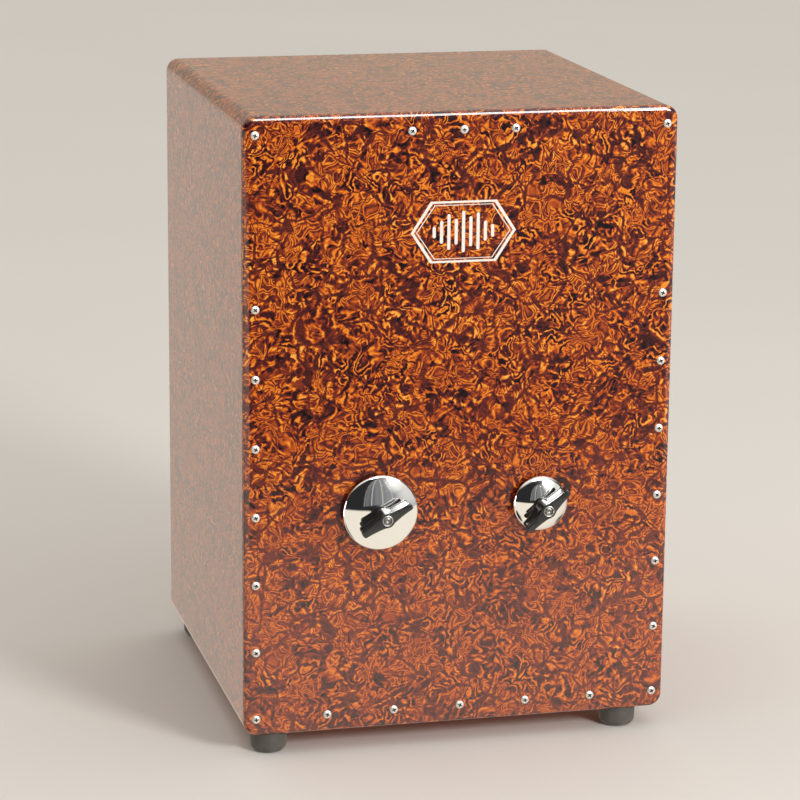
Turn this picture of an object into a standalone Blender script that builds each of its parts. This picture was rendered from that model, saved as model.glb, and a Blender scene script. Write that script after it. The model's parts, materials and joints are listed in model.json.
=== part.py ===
"""Box cajon with a screwed-on front plate and two adjustable jingle stations.

Frame: origin at the middle of the bounding box, on the floor. +X is the
player's right when facing the front plate, -Y is the front, +Z is up.
Dimensions below are millimetres; every mesh is built in metres.

The box is four mitred panels, a back panel with the sound hole let into a
rebate, and a thin front plate screwed over the front edges. Each jingle
station is a bolt through the front plate that carries, from the plate
outwards: a thin nut, a felt, a flanged sleeve with two jingles on it, a
second felt and a wing nut with a metal insert.
"""

import math

import bmesh
import bpy
from mathutils import Matrix, Vector

MM = 0.001
GAP = 0.3  # kept between pieces that touch

# box
WIDTH = 308.0
BOX_H = 439.0
FOOT_H = 16.0
BOX_D = 303.0  # front plate face to rear edge
PANEL_T = 16.0
CORNER_R = 9.5
EDGE_R = 2.3  # front and rear outer edges of the shell
PLATE_T = 3.5
PLATE_EDGE_R = 2.4
REBATE_W = 8.0
REBATE_D = 5.6
BACK_T = 5.0
BACK_FIT = 0.4
HOLE_R = 57.0
HOLE_Z = 250.0  # above the box bottom

# station, distances are measured outwards from the plate's face
STATION_Z = 159.6  # above the box bottom
STATION_X = {"left": -58.0, "right": 58.0}
JINGLE_R = {"left": 26.8, "right": 19.8}
JINGLE_RIM = {"left": 1.2, "right": 2.2}  # width of the rolled rim
JINGLE_CURL = {"left": 0.9, "right": 1.1}  # how far the rim curls back
JINGLE_DOME = {"left": 70.0, "right": 41.0}  # radius of the sphere it's domed to
WING_ANGLE = {"left": 30.0, "right": 42.6}
BOLT_R = 3.0
BOLT_BORE_R = 3.3
BOLT_END = 26.6
BOLT_HEAD_R = 7.0
BOLT_HEAD_T = 3.0
NUT_AF = 10.0
NUT_T = 3.0
REAR_FELT = (3.6, 5.8, 7.5)  # start, end, radius
SLEEVE_START = 6.1
SLEEVE_FLANGE = 0.9
SLEEVE_FLANGE_R = 6.2
SLEEVE_R = 4.3
SLEEVE_END = 10.5
JINGLE_BORE_R = 4.7
JINGLE_T = 0.8
REAR_HUB = 8.6  # front of the rear jingle's hub
FRONT_HUB = 10.6  # front of the front jingle's hub
FRONT_FELT = (12.1, 13.4, 5.0)
WING_BASE = 12.3
WING_TOP = 27.0
BOSS_R = 6.2
FELT_SEAT = (13.7, 5.3)  # depth and radius of the felt's recess in the nut
WING_SPAN = 40.0
WING_ROOT_W = 9.4
WING_TIP_W = 5.0
WING_BACK = 12.5  # rear edge of the wings
INSERT_R = 4.0
INSERT_BORE_R = 3.3

# fasteners
SCREW_HEAD_R = 3.0
SCREW_HEAD_H = 1.5
SCREW_R = 1.5
SCREW_LEN = 18.0
PILOT_R = 1.8
SIDE_SCREW_IN = 8.2  # from the side edge
ROW_IN = 12.4  # from the bottom edge, and from the top edge
SIDE_PITCH = 49.07
SIDE_ROWS = 7  # evenly pitched rows; an eighth screw sits at the top corner
TOP_SCREWS_X = (-36.6, 0.0, 36.6)
BOTTOM_PITCH = 48.4
BOTTOM_SHIFT = 2.2
BOTTOM_SCREWS = 5

# feet
FOOT_R = 13.4
FOOT_LOW_R = 12.8
FOOT_EDGE_R = 5.0
FOOT_X = {"left": -133.5, "right": 125.5}
FOOT_IN = 17.0  # centre, from the front and the rear face
FOOT_COUNTERBORE_R = 4.8
FOOT_COUNTERBORE = 8.0
FOOT_BORE_R = 2.4
FOOT_SCREW_R = 2.0
FOOT_SCREW_LEN = 20.0
FOOT_PILOT_R = 2.3

# snares
SNARE_BAR_Z = 372.0  # lower face, above the box bottom
SNARE_BAR_H = 18.0
SNARE_BAR_D = 14.0
SNARE_T = 1.2
SNARE_TEETH = 10
SNARE_PITCH = 5.0
SNARE_WIRE = 1.6
SNARE_LEN = 96.0
SNARE_X = {"left": -52.0, "right": 52.0}

PROTRUDE = WING_TOP
Y_BACK = (BOX_D + PROTRUDE) / 2
Y_FACE = Y_BACK - BOX_D  # front plate's face
Y_SHELL = Y_FACE + PLATE_T + GAP
Z0 = FOOT_H
Z1 = FOOT_H + BOX_H
ZC = (Z0 + Z1) / 2
HX = WIDTH / 2
HZ = BOX_H / 2

COLOURS = {
    "burl": ((0.30, 0.085, 0.025), 0.25, 0.0),
    "ply": ((0.55, 0.36, 0.19), 0.7, 0.0),
    "steel": ((0.75, 0.75, 0.74), 0.3, 1.0),
    "jingle": ((0.86, 0.86, 0.85), 0.08, 1.0),
    "black": ((0.012, 0.012, 0.012), 0.22, 0.0),
    "rubber": ((0.03, 0.03, 0.03), 0.7, 0.0),
    "felt": ((0.06, 0.06, 0.06), 0.95, 0.0),
    "nylon": ((0.75, 0.74, 0.70), 0.5, 0.0),
}


def clear_scene():
    for obj in list(bpy.data.objects):
        bpy.data.objects.remove(obj)


def material(name):
    found = bpy.data.materials.get(name)
    if found:
        return found
    colour, rough, metal = COLOURS[name]
    made = bpy.data.materials.new(name)
    made.use_nodes = True
    shader = made.node_tree.nodes["Principled BSDF"]
    shader.inputs["Base Color"].default_value = (*colour, 1.0)
    shader.inputs["Roughness"].default_value = rough
    shader.inputs["Metallic"].default_value = metal
    return made


def add(name, mesh, look, matrix=None, parent=None):
    """One named piece from a mesh, with its own look."""
    if not mesh.materials:
        mesh.materials.append(material(look))
    obj = bpy.data.objects.new(name, mesh)
    bpy.context.collection.objects.link(obj)
    if parent is not None:
        obj.parent = parent
    if matrix is not None:
        obj.matrix_local = matrix
    return obj


def face_outwards(bm):
    bmesh.ops.recalc_face_normals(bm, faces=bm.faces)
    if bm.calc_volume(signed=True) < 0:
        bmesh.ops.reverse_faces(bm, faces=bm.faces)


def finish_mesh(name, bm, sharp=35.0):
    bmesh.ops.remove_doubles(bm, verts=bm.verts, dist=1e-7)
    face_outwards(bm)
    mesh = bpy.data.meshes.new(name)
    bm.to_mesh(mesh)
    bm.free()
    mesh.shade_smooth()
    mesh.set_sharp_from_angle(angle=math.radians(sharp))
    return mesh


def loft(name, rings, caps=True, sharp=35.0):
    """Skin over rings of equal length, millimetres in, closed by end caps."""
    bm = bmesh.new()
    rows = [[bm.verts.new(Vector(p) * MM) for p in ring] for ring in rings]
    count = len(rows[0])
    for a, b in zip(rows, rows[1:]):
        for i in range(count):
            j = (i + 1) % count
            bm.faces.new((a[i], a[j], b[j], b[i]))
    if caps:
        bm.faces.new(rows[0])
        bm.faces.new(list(reversed(rows[-1])))
    else:
        a, b = rows[-1], rows[0]
        for i in range(count):
            j = (i + 1) % count
            bm.faces.new((a[i], a[j], b[j], b[i]))
    return finish_mesh(name, bm, sharp)


def turned(name, profile, steps, sharp=35.0):
    """A profile of (radius, height) points spun round Z. A closed profile
    that never meets the axis makes a ring; one that starts and ends on the
    axis makes a solid."""
    bm = bmesh.new()
    rows = []
    for radius, height in profile:
        if radius < 1e-6:
            rows.append([bm.verts.new((0, 0, height * MM))])
            continue
        rows.append(
            [
                bm.verts.new(
                    (
                        radius * MM * math.cos(2 * math.pi * k / steps),
                        radius * MM * math.sin(2 * math.pi * k / steps),
                        height * MM,
                    )
                )
                for k in range(steps)
            ]
        )
    on_axis = len(rows[0]) == 1
    pairs = list(zip(rows, rows[1:]))
    if not on_axis:
        pairs.append((rows[-1], rows[0]))
    for a, b in pairs:
        for k in range(steps):
            j = (k + 1) % steps
            corners = [
                a[k % len(a)],
                a[j % len(a)] if len(a) > 1 else None,
                b[j % len(b)],
                b[k % len(b)] if len(b) > 1 else None,
            ]
            bm.faces.new([c for c in corners if c is not None])
    return finish_mesh(name, bm, sharp)


def cutter(name, parts):
    """One hidden mesh of several closed tool shapes. Each part is a function
    that adds itself to the bmesh."""
    bm = bmesh.new()
    for part in parts:
        part(bm)
    face_outwards(bm)
    mesh = bpy.data.meshes.new(name)
    bm.to_mesh(mesh)
    bm.free()
    obj = bpy.data.objects.new(name, mesh)
    bpy.context.collection.objects.link(obj)
    obj.hide_render = True
    obj.display_type = "WIRE"
    return obj


def drill(centre, radius, length, axis, steps=12):
    """A round tool, its middle at centre, millimetres in."""
    turn = {
        "X": Matrix.Rotation(math.pi / 2, 4, "Y"),
        "Y": Matrix.Rotation(math.pi / 2, 4, "X"),
        "Z": Matrix.Identity(4),
    }[axis]

    def part(bm):
        bmesh.ops.create_cone(
            bm,
            cap_ends=True,
            segments=steps,
            radius1=radius * MM,
            radius2=radius * MM,
            depth=length * MM,
            matrix=Matrix.Translation(Vector(centre) * MM) @ turn,
        )

    return part


def cut(obj, tool):
    mod = obj.modifiers.new(tool.name, "BOOLEAN")
    mod.operation = "DIFFERENCE"
    mod.solver = "EXACT"
    mod.object = tool


def arc(cx, cz, radius, start, end, steps):
    """Points of an arc in degrees, both ends included."""
    return [
        (
            cx + radius * math.cos(math.radians(start + (end - start) * k / steps)),
            cz + radius * math.sin(math.radians(start + (end - start) * k / steps)),
        )
        for k in range(steps + 1)
    ]


def edge_round(radius, steps):
    """(distance along the depth, inset) down a quarter round."""
    return [
        (
            radius * (1 - math.cos(math.pi / 2 * k / steps)),
            radius * (1 - math.sin(math.pi / 2 * k / steps)),
        )
        for k in range(steps + 1)
    ]


# ---------------------------------------------------------------- the shell


def panel_section(half, other, inset, rebate):
    """Section of the upper panel of a rectangle 2*half high and 2*other wide,
    centred on the origin, in (across, up). Its ends are the mitre planes."""
    radius = CORNER_R - inset
    lean = math.degrees(math.asin(GAP / 2 / radius))
    right = arc(other - CORNER_R, half - CORNER_R, radius, 45 + lean, 90, 3)
    left = [(-x, z) for x, z in reversed(right)]
    up = half - PANEL_T + rebate
    across = other - PANEL_T + rebate - GAP / math.sqrt(2)
    return right + left + [(-across, up), (across, up)]


def panel_rings(half, other):
    front = [(Y_SHELL + d, inset) for d, inset in edge_round(EDGE_R, 2)]
    rear = [(Y_BACK - d, inset) for d, inset in reversed(edge_round(EDGE_R, 2))]
    rebate_y = Y_BACK - REBATE_D
    rings = [(y, panel_section(half, other, inset, 0.0)) for y, inset in front]
    rings.append((rebate_y, panel_section(half, other, 0.0, 0.0)))
    rings.append((rebate_y, panel_section(half, other, 0.0, REBATE_W)))
    rings += [(y, panel_section(half, other, inset, REBATE_W)) for y, inset in rear]
    return rings


def make_panel(name, side):
    if side in ("top", "bottom"):
        rings = panel_rings(HZ, HX)
        sign = 1 if side == "top" else -1
        points = [
            [(sign * a, y, ZC + sign * b) for a, b in section] for y, section in rings
        ]
    else:
        rings = panel_rings(HX, HZ)
        sign = 1 if side == "right" else -1
        points = [
            [(sign * b, y, ZC - sign * a) for a, b in section] for y, section in rings
        ]
    return add(name, loft(name, points), "burl")


def rounded_outline(hx, hz, radius, steps):
    pts = []
    for sx, sz, start in ((1, 1, 0), (-1, 1, 90), (-1, -1, 180), (1, -1, 270)):
        pts += arc(sx * (hx - radius), sz * (hz - radius), radius, start, start + 90, steps)
    return pts


def screw_places():
    """(name, x, z) of every front plate screw, z above the box bottom."""
    places = []
    for side, sign in (("left", -1), ("right", 1)):
        x = sign * (HX - SIDE_SCREW_IN)
        for k in range(SIDE_ROWS):
            places.append((f"plate_screw_{side}_{k + 1}", x, ROW_IN + SIDE_PITCH * k))
        places.append((f"plate_screw_{side}_{SIDE_ROWS + 1}", x, BOX_H - ROW_IN))
    for k, x in enumerate(TOP_SCREWS_X):
        places.append((f"plate_screw_top_{k + 1}", x, BOX_H - ROW_IN))
    for k in range(BOTTOM_SCREWS):
        x = BOTTOM_SHIFT + BOTTOM_PITCH * (k - (BOTTOM_SCREWS - 1) / 2)
        places.append((f"plate_screw_bottom_{k + 1}", x, ROW_IN))
    return places


def make_shell():
    panels = {s: make_panel(f"{s}_panel", s) for s in ("top", "bottom", "left", "right")}
    pilots = {s: [] for s in panels}
    for _, x, z in screw_places():
        if abs(x) > HX - PANEL_T:
            side = "left" if x < 0 else "right"
        else:
            side = "top" if z > HZ else "bottom"
        pilots[side].append(
            drill((x, Y_SHELL + SCREW_LEN / 2 - 2.0, Z0 + z), PILOT_R, SCREW_LEN, "Y", 8)
        )
    for x in FOOT_X.values():
        for y in (Y_FACE + FOOT_IN, Y_BACK - FOOT_IN):
            pilots["bottom"].append(
                drill((x, y, Z0 + 6.5), FOOT_PILOT_R, 14.5, "Z", 10)
            )
    for side, panel in panels.items():
        cut(panel, cutter(f"pilots_{side}", pilots[side]))


def make_back_panel():
    hx = HX - PANEL_T + REBATE_W - BACK_FIT
    hz = HZ - PANEL_T + REBATE_W - BACK_FIT
    y0 = Y_BACK - REBATE_D + GAP
    bm = bmesh.new()
    for y, flip in ((y0, False), (y0 + BACK_T, True)):
        corners = [(-hx, -hz), (hx, -hz), (hx, hz), (-hx, hz)]
        bm.faces.new(
            [bm.verts.new((x * MM, y * MM, (ZC + z) * MM)) for x, z in (corners if not flip else corners[::-1])]
        )
    bm.verts.ensure_lookup_table()
    for k in range(4):
        a, b = k, (k + 1) % 4
        front = bm.verts
        bm.faces.new((front[a], front[b], front[4 + (3 - b)], front[4 + (3 - a)]))
    panel = add("back_panel", finish_mesh("back_panel", bm), "burl")
    middle = y0 + BACK_T / 2
    # the hole's edges are eased by a millimetre on both faces
    profile = [(0, -BACK_T), (HOLE_R + BACK_T / 2 + 1, -BACK_T)]
    profile += [(HOLE_R, -BACK_T / 2 + 1), (HOLE_R, BACK_T / 2 - 1)]
    profile += [(HOLE_R + BACK_T / 2 + 1, BACK_T), (0, BACK_T)]
    tool = bpy.data.objects.new("hole_tool", turned("hole_tool", profile, 36))
    bpy.context.collection.objects.link(tool)
    tool.matrix_local = Matrix.Translation(
        Vector((0, middle, Z0 + HOLE_Z)) * MM
    ) @ Matrix.Rotation(math.pi / 2, 4, "X")
    tool.hide_render = True
    tool.display_type = "WIRE"
    cut(panel, tool)


def make_front_plate():
    rings = []
    for d, inset in edge_round(PLATE_EDGE_R, 3):
        outline = rounded_outline(HX - inset, HZ - inset, CORNER_R - inset, 4)
        rings.append([(x, Y_FACE + d, ZC + z) for x, z in outline])
    outline = rounded_outline(HX, HZ, CORNER_R, 4)
    rings.append([(x, Y_FACE + PLATE_T, ZC + z) for x, z in outline])
    plate = add("front_plate", loft("front_plate", rings), "burl")
    y = Y_FACE + PLATE_T / 2
    holes = [drill((x, y, Z0 + z), PILOT_R, 3 * PLATE_T, "Y", 8) for _, x, z in screw_places()]
    holes += [
        drill((x, y, Z0 + STATION_Z), BOLT_BORE_R, 3 * PLATE_T, "Y", 12)
        for x in STATION_X.values()
    ]
    cut(plate, cutter("plate_holes", holes))


# ------------------------------------------------------------- the fasteners


def make_plate_screws():
    """Pan heads standing on the plate, cross recess left as a plain dimple.
    Local Z is the outward axis, zero at the head's seat."""
    head, shank = SCREW_HEAD_R, SCREW_R
    mesh = turned(
        "plate_screw",
        [
            (0, -SCREW_LEN),
            (shank, -SCREW_LEN + 3.0),
            (shank, 0),
            (head, 0),
            (head, SCREW_HEAD_H * 0.55),
            (head * 0.6, SCREW_HEAD_H),
            (0, SCREW_HEAD_H - 0.9),
        ],
        8,
    )
    turn = Matrix.Rotation(math.pi / 2, 4, "X")
    for name, x, z in screw_places():
        place = Matrix.Translation(Vector((x, Y_FACE - GAP, Z0 + z)) * MM)
        add(name, mesh, "steel", place @ turn)


def make_feet():
    steps = 3
    low, edge = FOOT_LOW_R, FOOT_EDGE_R
    outer = [
        (
            low - edge + edge * math.sin(math.pi / 2 * k / steps),
            edge - edge * math.cos(math.pi / 2 * k / steps),
        )
        for k in range(steps + 1)
    ]
    top = FOOT_H - GAP
    profile = [(FOOT_COUNTERBORE_R, 0)] + outer + [(FOOT_R, top)]
    profile += [(FOOT_BORE_R, top), (FOOT_BORE_R, FOOT_COUNTERBORE), (FOOT_COUNTERBORE_R, FOOT_COUNTERBORE)]
    foot = turned("foot", profile, 18)
    seat = FOOT_COUNTERBORE - GAP
    screw = turned(
        "foot_screw",
        [
            (0, seat - 2.0),
            (2.2, seat - 3.0),
            (4.0, seat - 1.8),
            (4.0, seat),
            (FOOT_SCREW_R, seat),
            (FOOT_SCREW_R, seat + FOOT_SCREW_LEN - 3.5),
            (0, seat + FOOT_SCREW_LEN),
        ],
        10,
    )
    for side, x in FOOT_X.items():
        for end, y in (("front", Y_FACE + FOOT_IN), ("rear", Y_BACK - FOOT_IN)):
            place = Matrix.Translation(Vector((x, y, 0)) * MM)
            add(f"foot_{end}_{side}", foot, "rubber", place)
            add(f"foot_screw_{end}_{side}", screw, "steel", place)


# ------------------------------------------------------------- the stations


def ring_profile(inner, outer, start, end, ease=0.0):
    if not ease:
        return [(inner, start), (outer, start), (outer, end), (inner, end)]
    return [
        (inner, start),
        (outer - ease, start),
        (outer, start + ease),
        (outer, end - ease),
        (outer - ease, end),
        (inner, end),
    ]


def jingle_profile(radius, rim, curl, dome, hub):
    """A stamped disc domed outwards to a sphere, hub height on the outer face
    at its bore, with a rolled rim that curls back towards the plate."""
    turn = radius - rim
    slope = turn / dome

    def fall(r):
        return (r * r - JINGLE_BORE_R**2) / (2 * dome)

    steps = 5
    radii = [JINGLE_BORE_R + (turn - JINGLE_BORE_R) * k / steps for k in range(steps + 1)]
    face = [(r, fall(r)) for r in radii]
    for u in (0.65, 1.0):
        face.append((turn + rim * u, fall(turn) + slope * rim * u + curl * (1 - math.sqrt(1 - u * u))))
    deep = face[-1][1] + 0.3
    face.append((radius, deep))
    back = [(radius - JINGLE_T, deep), (radius - JINGLE_T, deep - 0.25)]
    back += [(r - 0.3, fall(r - 0.3) + JINGLE_T) for r in reversed(radii[1:])]
    back.append((JINGLE_BORE_R, JINGLE_T))
    return [(r, hub - h) for r, h in face + back]


def make_wing_nut(name):
    """Local Z is outward, local X along the wings, zero height on the plate."""
    half = WING_SPAN / 2
    body = turned(
        name + "_boss",
        ring_profile(INSERT_R + GAP, BOSS_R, WING_BASE, WING_TOP, 0.5),
        20,
    )
    bm = bmesh.new()
    bm.from_mesh(body)
    bpy.data.meshes.remove(body)
    boss = bpy.data.meshes.new(name)
    bm.to_mesh(boss)
    bm.free()
    obj = add(name, boss, "black")

    def wing(sign):
        """A tapering blade with rounded top and bottom corners at its tip."""

        def width(u):
            t = (u - 3.0) / (half - 3.0)
            return (WING_ROOT_W + (WING_TIP_W - WING_ROOT_W) * t ** 0.8) / 2 if t > 0 else WING_ROOT_W / 2

        def part(bm):
            rings = []
            for u in (4.9, 8.0, 12.0, 16.0, half - 1.6, half - 0.5, half):
                w = width(u)
                ease = 0.6
                if u > half - 1.0:
                    w *= 0.8 if u < half else 0.55
                tip = max(0.0, (u - 8.0) / (half - 8.0))
                back = WING_BACK + 0.6 * tip
                top = WING_TOP - (0.35 if u >= half else 0.0)
                if u >= half:
                    back += 1.2
                rings.append(
                    [
                        (sign * u, sign * v, h)
                        for v, h in (
                            (-w + ease, back),
                            (w - ease, back),
                            (w, back + ease),
                            (w, top - ease),
                            (w - ease, top),
                            (-w + ease, top),
                            (-w, top - ease),
                            (-w, back + ease),
                        )
                    ]
                )
            rows = [[bm.verts.new(Vector(p) * MM) for p in ring] for ring in rings]
            for a, b in zip(rows, rows[1:]):
                for i in range(8):
                    j = (i + 1) % 8
                    bm.faces.new((a[i], a[j], b[j], b[i]))
            bm.faces.new(rows[0])
            bm.faces.new(list(reversed(rows[-1])))

        return part

    def pocket(sign, face):
        """The recess in a wing's broad side."""

        def part(bm):
            near, far = 7.6, half - 2.6
            rings = []
            for u in (near, far):
                t = (u - 3.0) / (half - 3.0)
                w = (WING_ROOT_W + (WING_TIP_W - WING_ROOT_W) * t ** 0.8) / 2
                tip = (u - 8.0) / (half - 8.0)
                low = WING_BACK + 2.0 + 0.6 * max(0.0, tip)
                high = WING_TOP - 2.6
                depth = 1.2
                rings.append(
                    [
                        (sign * u, face * (w - depth), low),
                        (sign * u, face * (w + 2.0), low),
                        (sign * u, face * (w + 2.0), high),
                        (sign * u, face * (w - depth), high),
                    ]
                )
            rows = [[bm.verts.new(Vector(p) * MM) for p in ring] for ring in rings]
            for i in range(4):
                j = (i + 1) % 4
                bm.faces.new((rows[0][i], rows[0][j], rows[1][j], rows[1][i]))
            bm.faces.new(rows[0])
            bm.faces.new(list(reversed(rows[1])))

        return part

    for sign, tag in ((-1, "a"), (1, "b")):
        tool = cutter(f"{name}_wing_{tag}", [wing(sign)])
        mod = obj.modifiers.new(tool.name, "BOOLEAN")
        mod.operation = "UNION"
        mod.solver = "EXACT"
        mod.object = tool
    cut(obj, cutter(f"{name}_pockets", [pocket(s, f) for s in (-1, 1) for f in (-1, 1)]))
    cut(
        obj,
        cutter(
            f"{name}_bore",
            [drill((0, 0, (WING_BASE + WING_TOP) / 2), INSERT_R + GAP, 40.0, "Z", 20)],
        ),
    )
    seat, seat_r = FELT_SEAT
    cut(obj, cutter(f"{name}_felt_seat", [drill((0, 0, seat - 2.0), seat_r, 4.0, "Z", 20)]))
    obj["tools"] = [o.name for o in bpy.data.objects if o.name.startswith(name + "_")]
    return obj


def make_station(side):
    centre = Vector((STATION_X[side], Y_FACE, Z0 + STATION_Z)) * MM
    outward = Matrix.Translation(centre) @ Matrix.Rotation(math.pi / 2, 4, "X")

    def axle(tag):
        """An empty on the bolt's axis, its Z pointing outwards."""
        empty = bpy.data.objects.new(f"axis_{tag}_{side}", None)
        bpy.context.collection.objects.link(empty)
        empty.matrix_local = outward
        return empty

    fixed, rattle, nut = axle("fixed"), axle("rattle"), axle("nut")
    wing_turn = Matrix.Rotation(math.radians(WING_ANGLE[side]), 4, "Z")

    inside = -PLATE_T - GAP
    bolt = [
        (0, inside - BOLT_HEAD_T + 1.4),
        (2.3, inside - BOLT_HEAD_T + 1.2),
        (2.6, inside - BOLT_HEAD_T),
        (BOLT_HEAD_R - 2.0, inside - BOLT_HEAD_T),
        (BOLT_HEAD_R, inside - 1.2),
        (BOLT_HEAD_R, inside),
        (BOLT_R, inside),
        (BOLT_R, BOLT_END - 0.8),
        (BOLT_R - 0.8, BOLT_END),
        (0.7, BOLT_END),
        (0, BOLT_END - 0.5),
    ]
    add(f"jingle_bolt_{side}", turned(f"bolt_{side}", bolt, 12), "steel", None, fixed)

    # thin hex nut clamped on the plate
    flat = NUT_AF / 2
    corner = flat / math.cos(math.pi / 6)
    bm = bmesh.new()
    rows = []
    for radius, height in ((corner, GAP), (corner, GAP + NUT_T)):
        rows.append(
            [
                bm.verts.new(Vector((radius * math.cos(math.pi / 3 * k), radius * math.sin(math.pi / 3 * k), height)) * MM)
                for k in range(6)
            ]
        )
    for k in range(6):
        j = (k + 1) % 6
        bm.faces.new((rows[0][k], rows[0][j], rows[1][j], rows[1][k]))
    bm.faces.new(rows[0][::-1])
    bm.faces.new(rows[1])
    nut_obj = add(f"clamp_nut_{side}", finish_mesh(f"clamp_nut_{side}", bm), "steel", None, fixed)
    tool = cutter(f"clamp_bore_{side}", [drill((0, 0, 2.0), BOLT_BORE_R, 12.0, "Z", 16)])
    tool.parent = fixed
    cut(nut_obj, tool)

    start, end, radius = REAR_FELT
    felt = ring_profile(BOLT_BORE_R, radius, start, end)
    add(f"rear_felt_{side}", turned(f"rear_felt_{side}", felt, 18), "felt", None, fixed)

    flange = SLEEVE_START + SLEEVE_FLANGE
    sleeve = [
        (BOLT_BORE_R, SLEEVE_START),
        (SLEEVE_FLANGE_R, SLEEVE_START),
        (SLEEVE_FLANGE_R, flange),
        (SLEEVE_R, flange),
        (SLEEVE_R, SLEEVE_END),
        (BOLT_BORE_R, SLEEVE_END),
    ]
    add(f"jingle_sleeve_{side}", turned(f"sleeve_{side}", sleeve, 16), "nylon", None, rattle)

    outer = JINGLE_R[side]
    shape = (JINGLE_RIM[side], JINGLE_CURL[side], JINGLE_DOME[side])
    rear = jingle_profile(outer - 0.8, *shape, REAR_HUB)
    add(f"rear_jingle_{side}", turned(f"rear_jingle_{side}", rear, 28), "jingle", None, rattle)
    front = jingle_profile(outer, *shape, FRONT_HUB)
    add(f"front_jingle_{side}", turned(f"front_jingle_{side}", front, 28), "jingle", None, rattle)

    start, end, radius = FRONT_FELT
    felt = ring_profile(BOLT_BORE_R, radius, start, end)
    add(f"front_felt_{side}", turned(f"front_felt_{side}", felt, 18), "felt", None, nut)

    wing = make_wing_nut(f"wing_nut_{side}")
    wing.parent = nut
    wing.matrix_local = wing_turn
    for tool_name in wing["tools"]:
        tool = bpy.data.objects[tool_name]
        tool.parent = nut
        tool.matrix_local = wing_turn
    insert = ring_profile(INSERT_BORE_R, INSERT_R, FELT_SEAT[0], WING_TOP, 0.0)
    add(f"wing_insert_{side}", turned(f"insert_{side}", insert, 16), "steel", wing_turn, nut)


# --------------------------------------------------------------- the snares


def make_snares():
    """A bar between the side panels, and a comb of wires hanging from it on
    each side, their ends lying just behind the front plate."""
    reach = HX - PANEL_T - GAP
    wires_y = Y_FACE + PLATE_T + 0.5
    bar_y = wires_y + SNARE_T + GAP
    z = Z0 + SNARE_BAR_Z
    outline = [
        (bar_y, z),
        (bar_y + SNARE_BAR_D - 2.0, z),
        (bar_y + SNARE_BAR_D, z + 2.0),
        (bar_y + SNARE_BAR_D, z + SNARE_BAR_H - 2.0),
        (bar_y + SNARE_BAR_D - 2.0, z + SNARE_BAR_H),
        (bar_y, z + SNARE_BAR_H),
    ]
    rings = [[(x, y, h) for y, h in outline] for x in (-reach, reach)]
    add("snare_bar", loft("snare_bar", rings), "ply")

    half = SNARE_PITCH * (SNARE_TEETH - 1) / 2 + SNARE_WIRE / 2 + 1.5
    comb = [(half, SNARE_BAR_H - 3.0), (-half, SNARE_BAR_H - 3.0), (-half, 3.0)]
    for k in range(SNARE_TEETH):
        x = SNARE_PITCH * (k - (SNARE_TEETH - 1) / 2)
        comb += [
            (x - SNARE_WIRE / 2, 3.0),
            (x - SNARE_WIRE / 2, -SNARE_LEN),
            (x + SNARE_WIRE / 2, -SNARE_LEN),
            (x + SNARE_WIRE / 2, 3.0),
        ]
    comb.append((half, 3.0))
    for side, middle in SNARE_X.items():
        rings = [
            [(middle + x, y, z + h) for x, h in comb]
            for y in (wires_y, wires_y + SNARE_T)
        ]
        add(f"snare_wires_{side}", loft(f"snare_wires_{side}", rings), "steel")


def main():
    clear_scene()
    make_shell()
    make_back_panel()
    make_front_plate()
    make_plate_screws()
    make_feet()
    for side in ("left", "right"):
        make_station(side)
    make_snares()


main()
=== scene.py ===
"""Looks of a box cajon with two jingle stations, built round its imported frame.

Every visible piece is modelled finely here, stands for the plain solid of the
same place in the frame, and rides on that solid's body. Dimensions below are
millimetres and repeat the design's own; meshes are made in metres.
"""

import json
import math

import bmesh
import bpy
from mathutils import Matrix, Vector, noise

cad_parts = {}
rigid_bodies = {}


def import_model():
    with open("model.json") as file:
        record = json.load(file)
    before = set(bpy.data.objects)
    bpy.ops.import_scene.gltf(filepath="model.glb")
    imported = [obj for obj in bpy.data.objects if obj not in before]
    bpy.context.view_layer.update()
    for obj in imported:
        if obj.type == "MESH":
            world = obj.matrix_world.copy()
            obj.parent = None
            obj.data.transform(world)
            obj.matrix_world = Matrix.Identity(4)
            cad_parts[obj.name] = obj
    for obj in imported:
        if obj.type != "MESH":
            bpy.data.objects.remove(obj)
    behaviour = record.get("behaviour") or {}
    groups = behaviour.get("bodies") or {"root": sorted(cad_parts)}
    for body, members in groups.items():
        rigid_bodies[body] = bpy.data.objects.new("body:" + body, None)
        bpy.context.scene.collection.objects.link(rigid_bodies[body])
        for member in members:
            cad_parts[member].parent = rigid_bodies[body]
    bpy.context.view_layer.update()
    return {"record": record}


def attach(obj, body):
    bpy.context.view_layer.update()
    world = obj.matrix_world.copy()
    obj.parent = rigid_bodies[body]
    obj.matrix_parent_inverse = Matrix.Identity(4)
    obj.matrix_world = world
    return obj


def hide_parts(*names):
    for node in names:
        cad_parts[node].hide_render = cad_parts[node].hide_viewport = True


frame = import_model()

MM = 0.001
SEAM = 0.02  # between mitred panels

WIDTH = 308.0
BOX_H = 439.0
FOOT_H = 16.0
BOX_D = 303.0
PANEL_T = 16.0
CORNER_R = 9.5
EDGE_R = 2.3
PLATE_T = 3.5
PLATE_EDGE_IN = 4.5  # the plate's edge is eased over this much of its face
PLATE_EDGE_DEEP = 3.0
REBATE_W = 8.0
REBATE_D = 5.6
BACK_T = 5.0
BACK_FIT = 0.4
HOLE_R = 57.0
HOLE_Z = 250.0
STATION_Z = 159.6
STATION_X = {"left": -58.0, "right": 58.0}
JINGLE_R = {"left": 26.8, "right": 19.8}
JINGLE_RIM = {"left": 1.2, "right": 2.2}
JINGLE_CURL = {"left": 0.9, "right": 1.1}
JINGLE_DOME = {"left": 70.0, "right": 41.0}
JINGLE_BORE = 4.7
REAR_HUB = 8.6
FRONT_HUB = 10.6
WING_ANGLE = {"left": 30.0, "right": 42.6}
BOLT_END = 26.6
SIDE_SCREW_IN = 8.2
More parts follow.
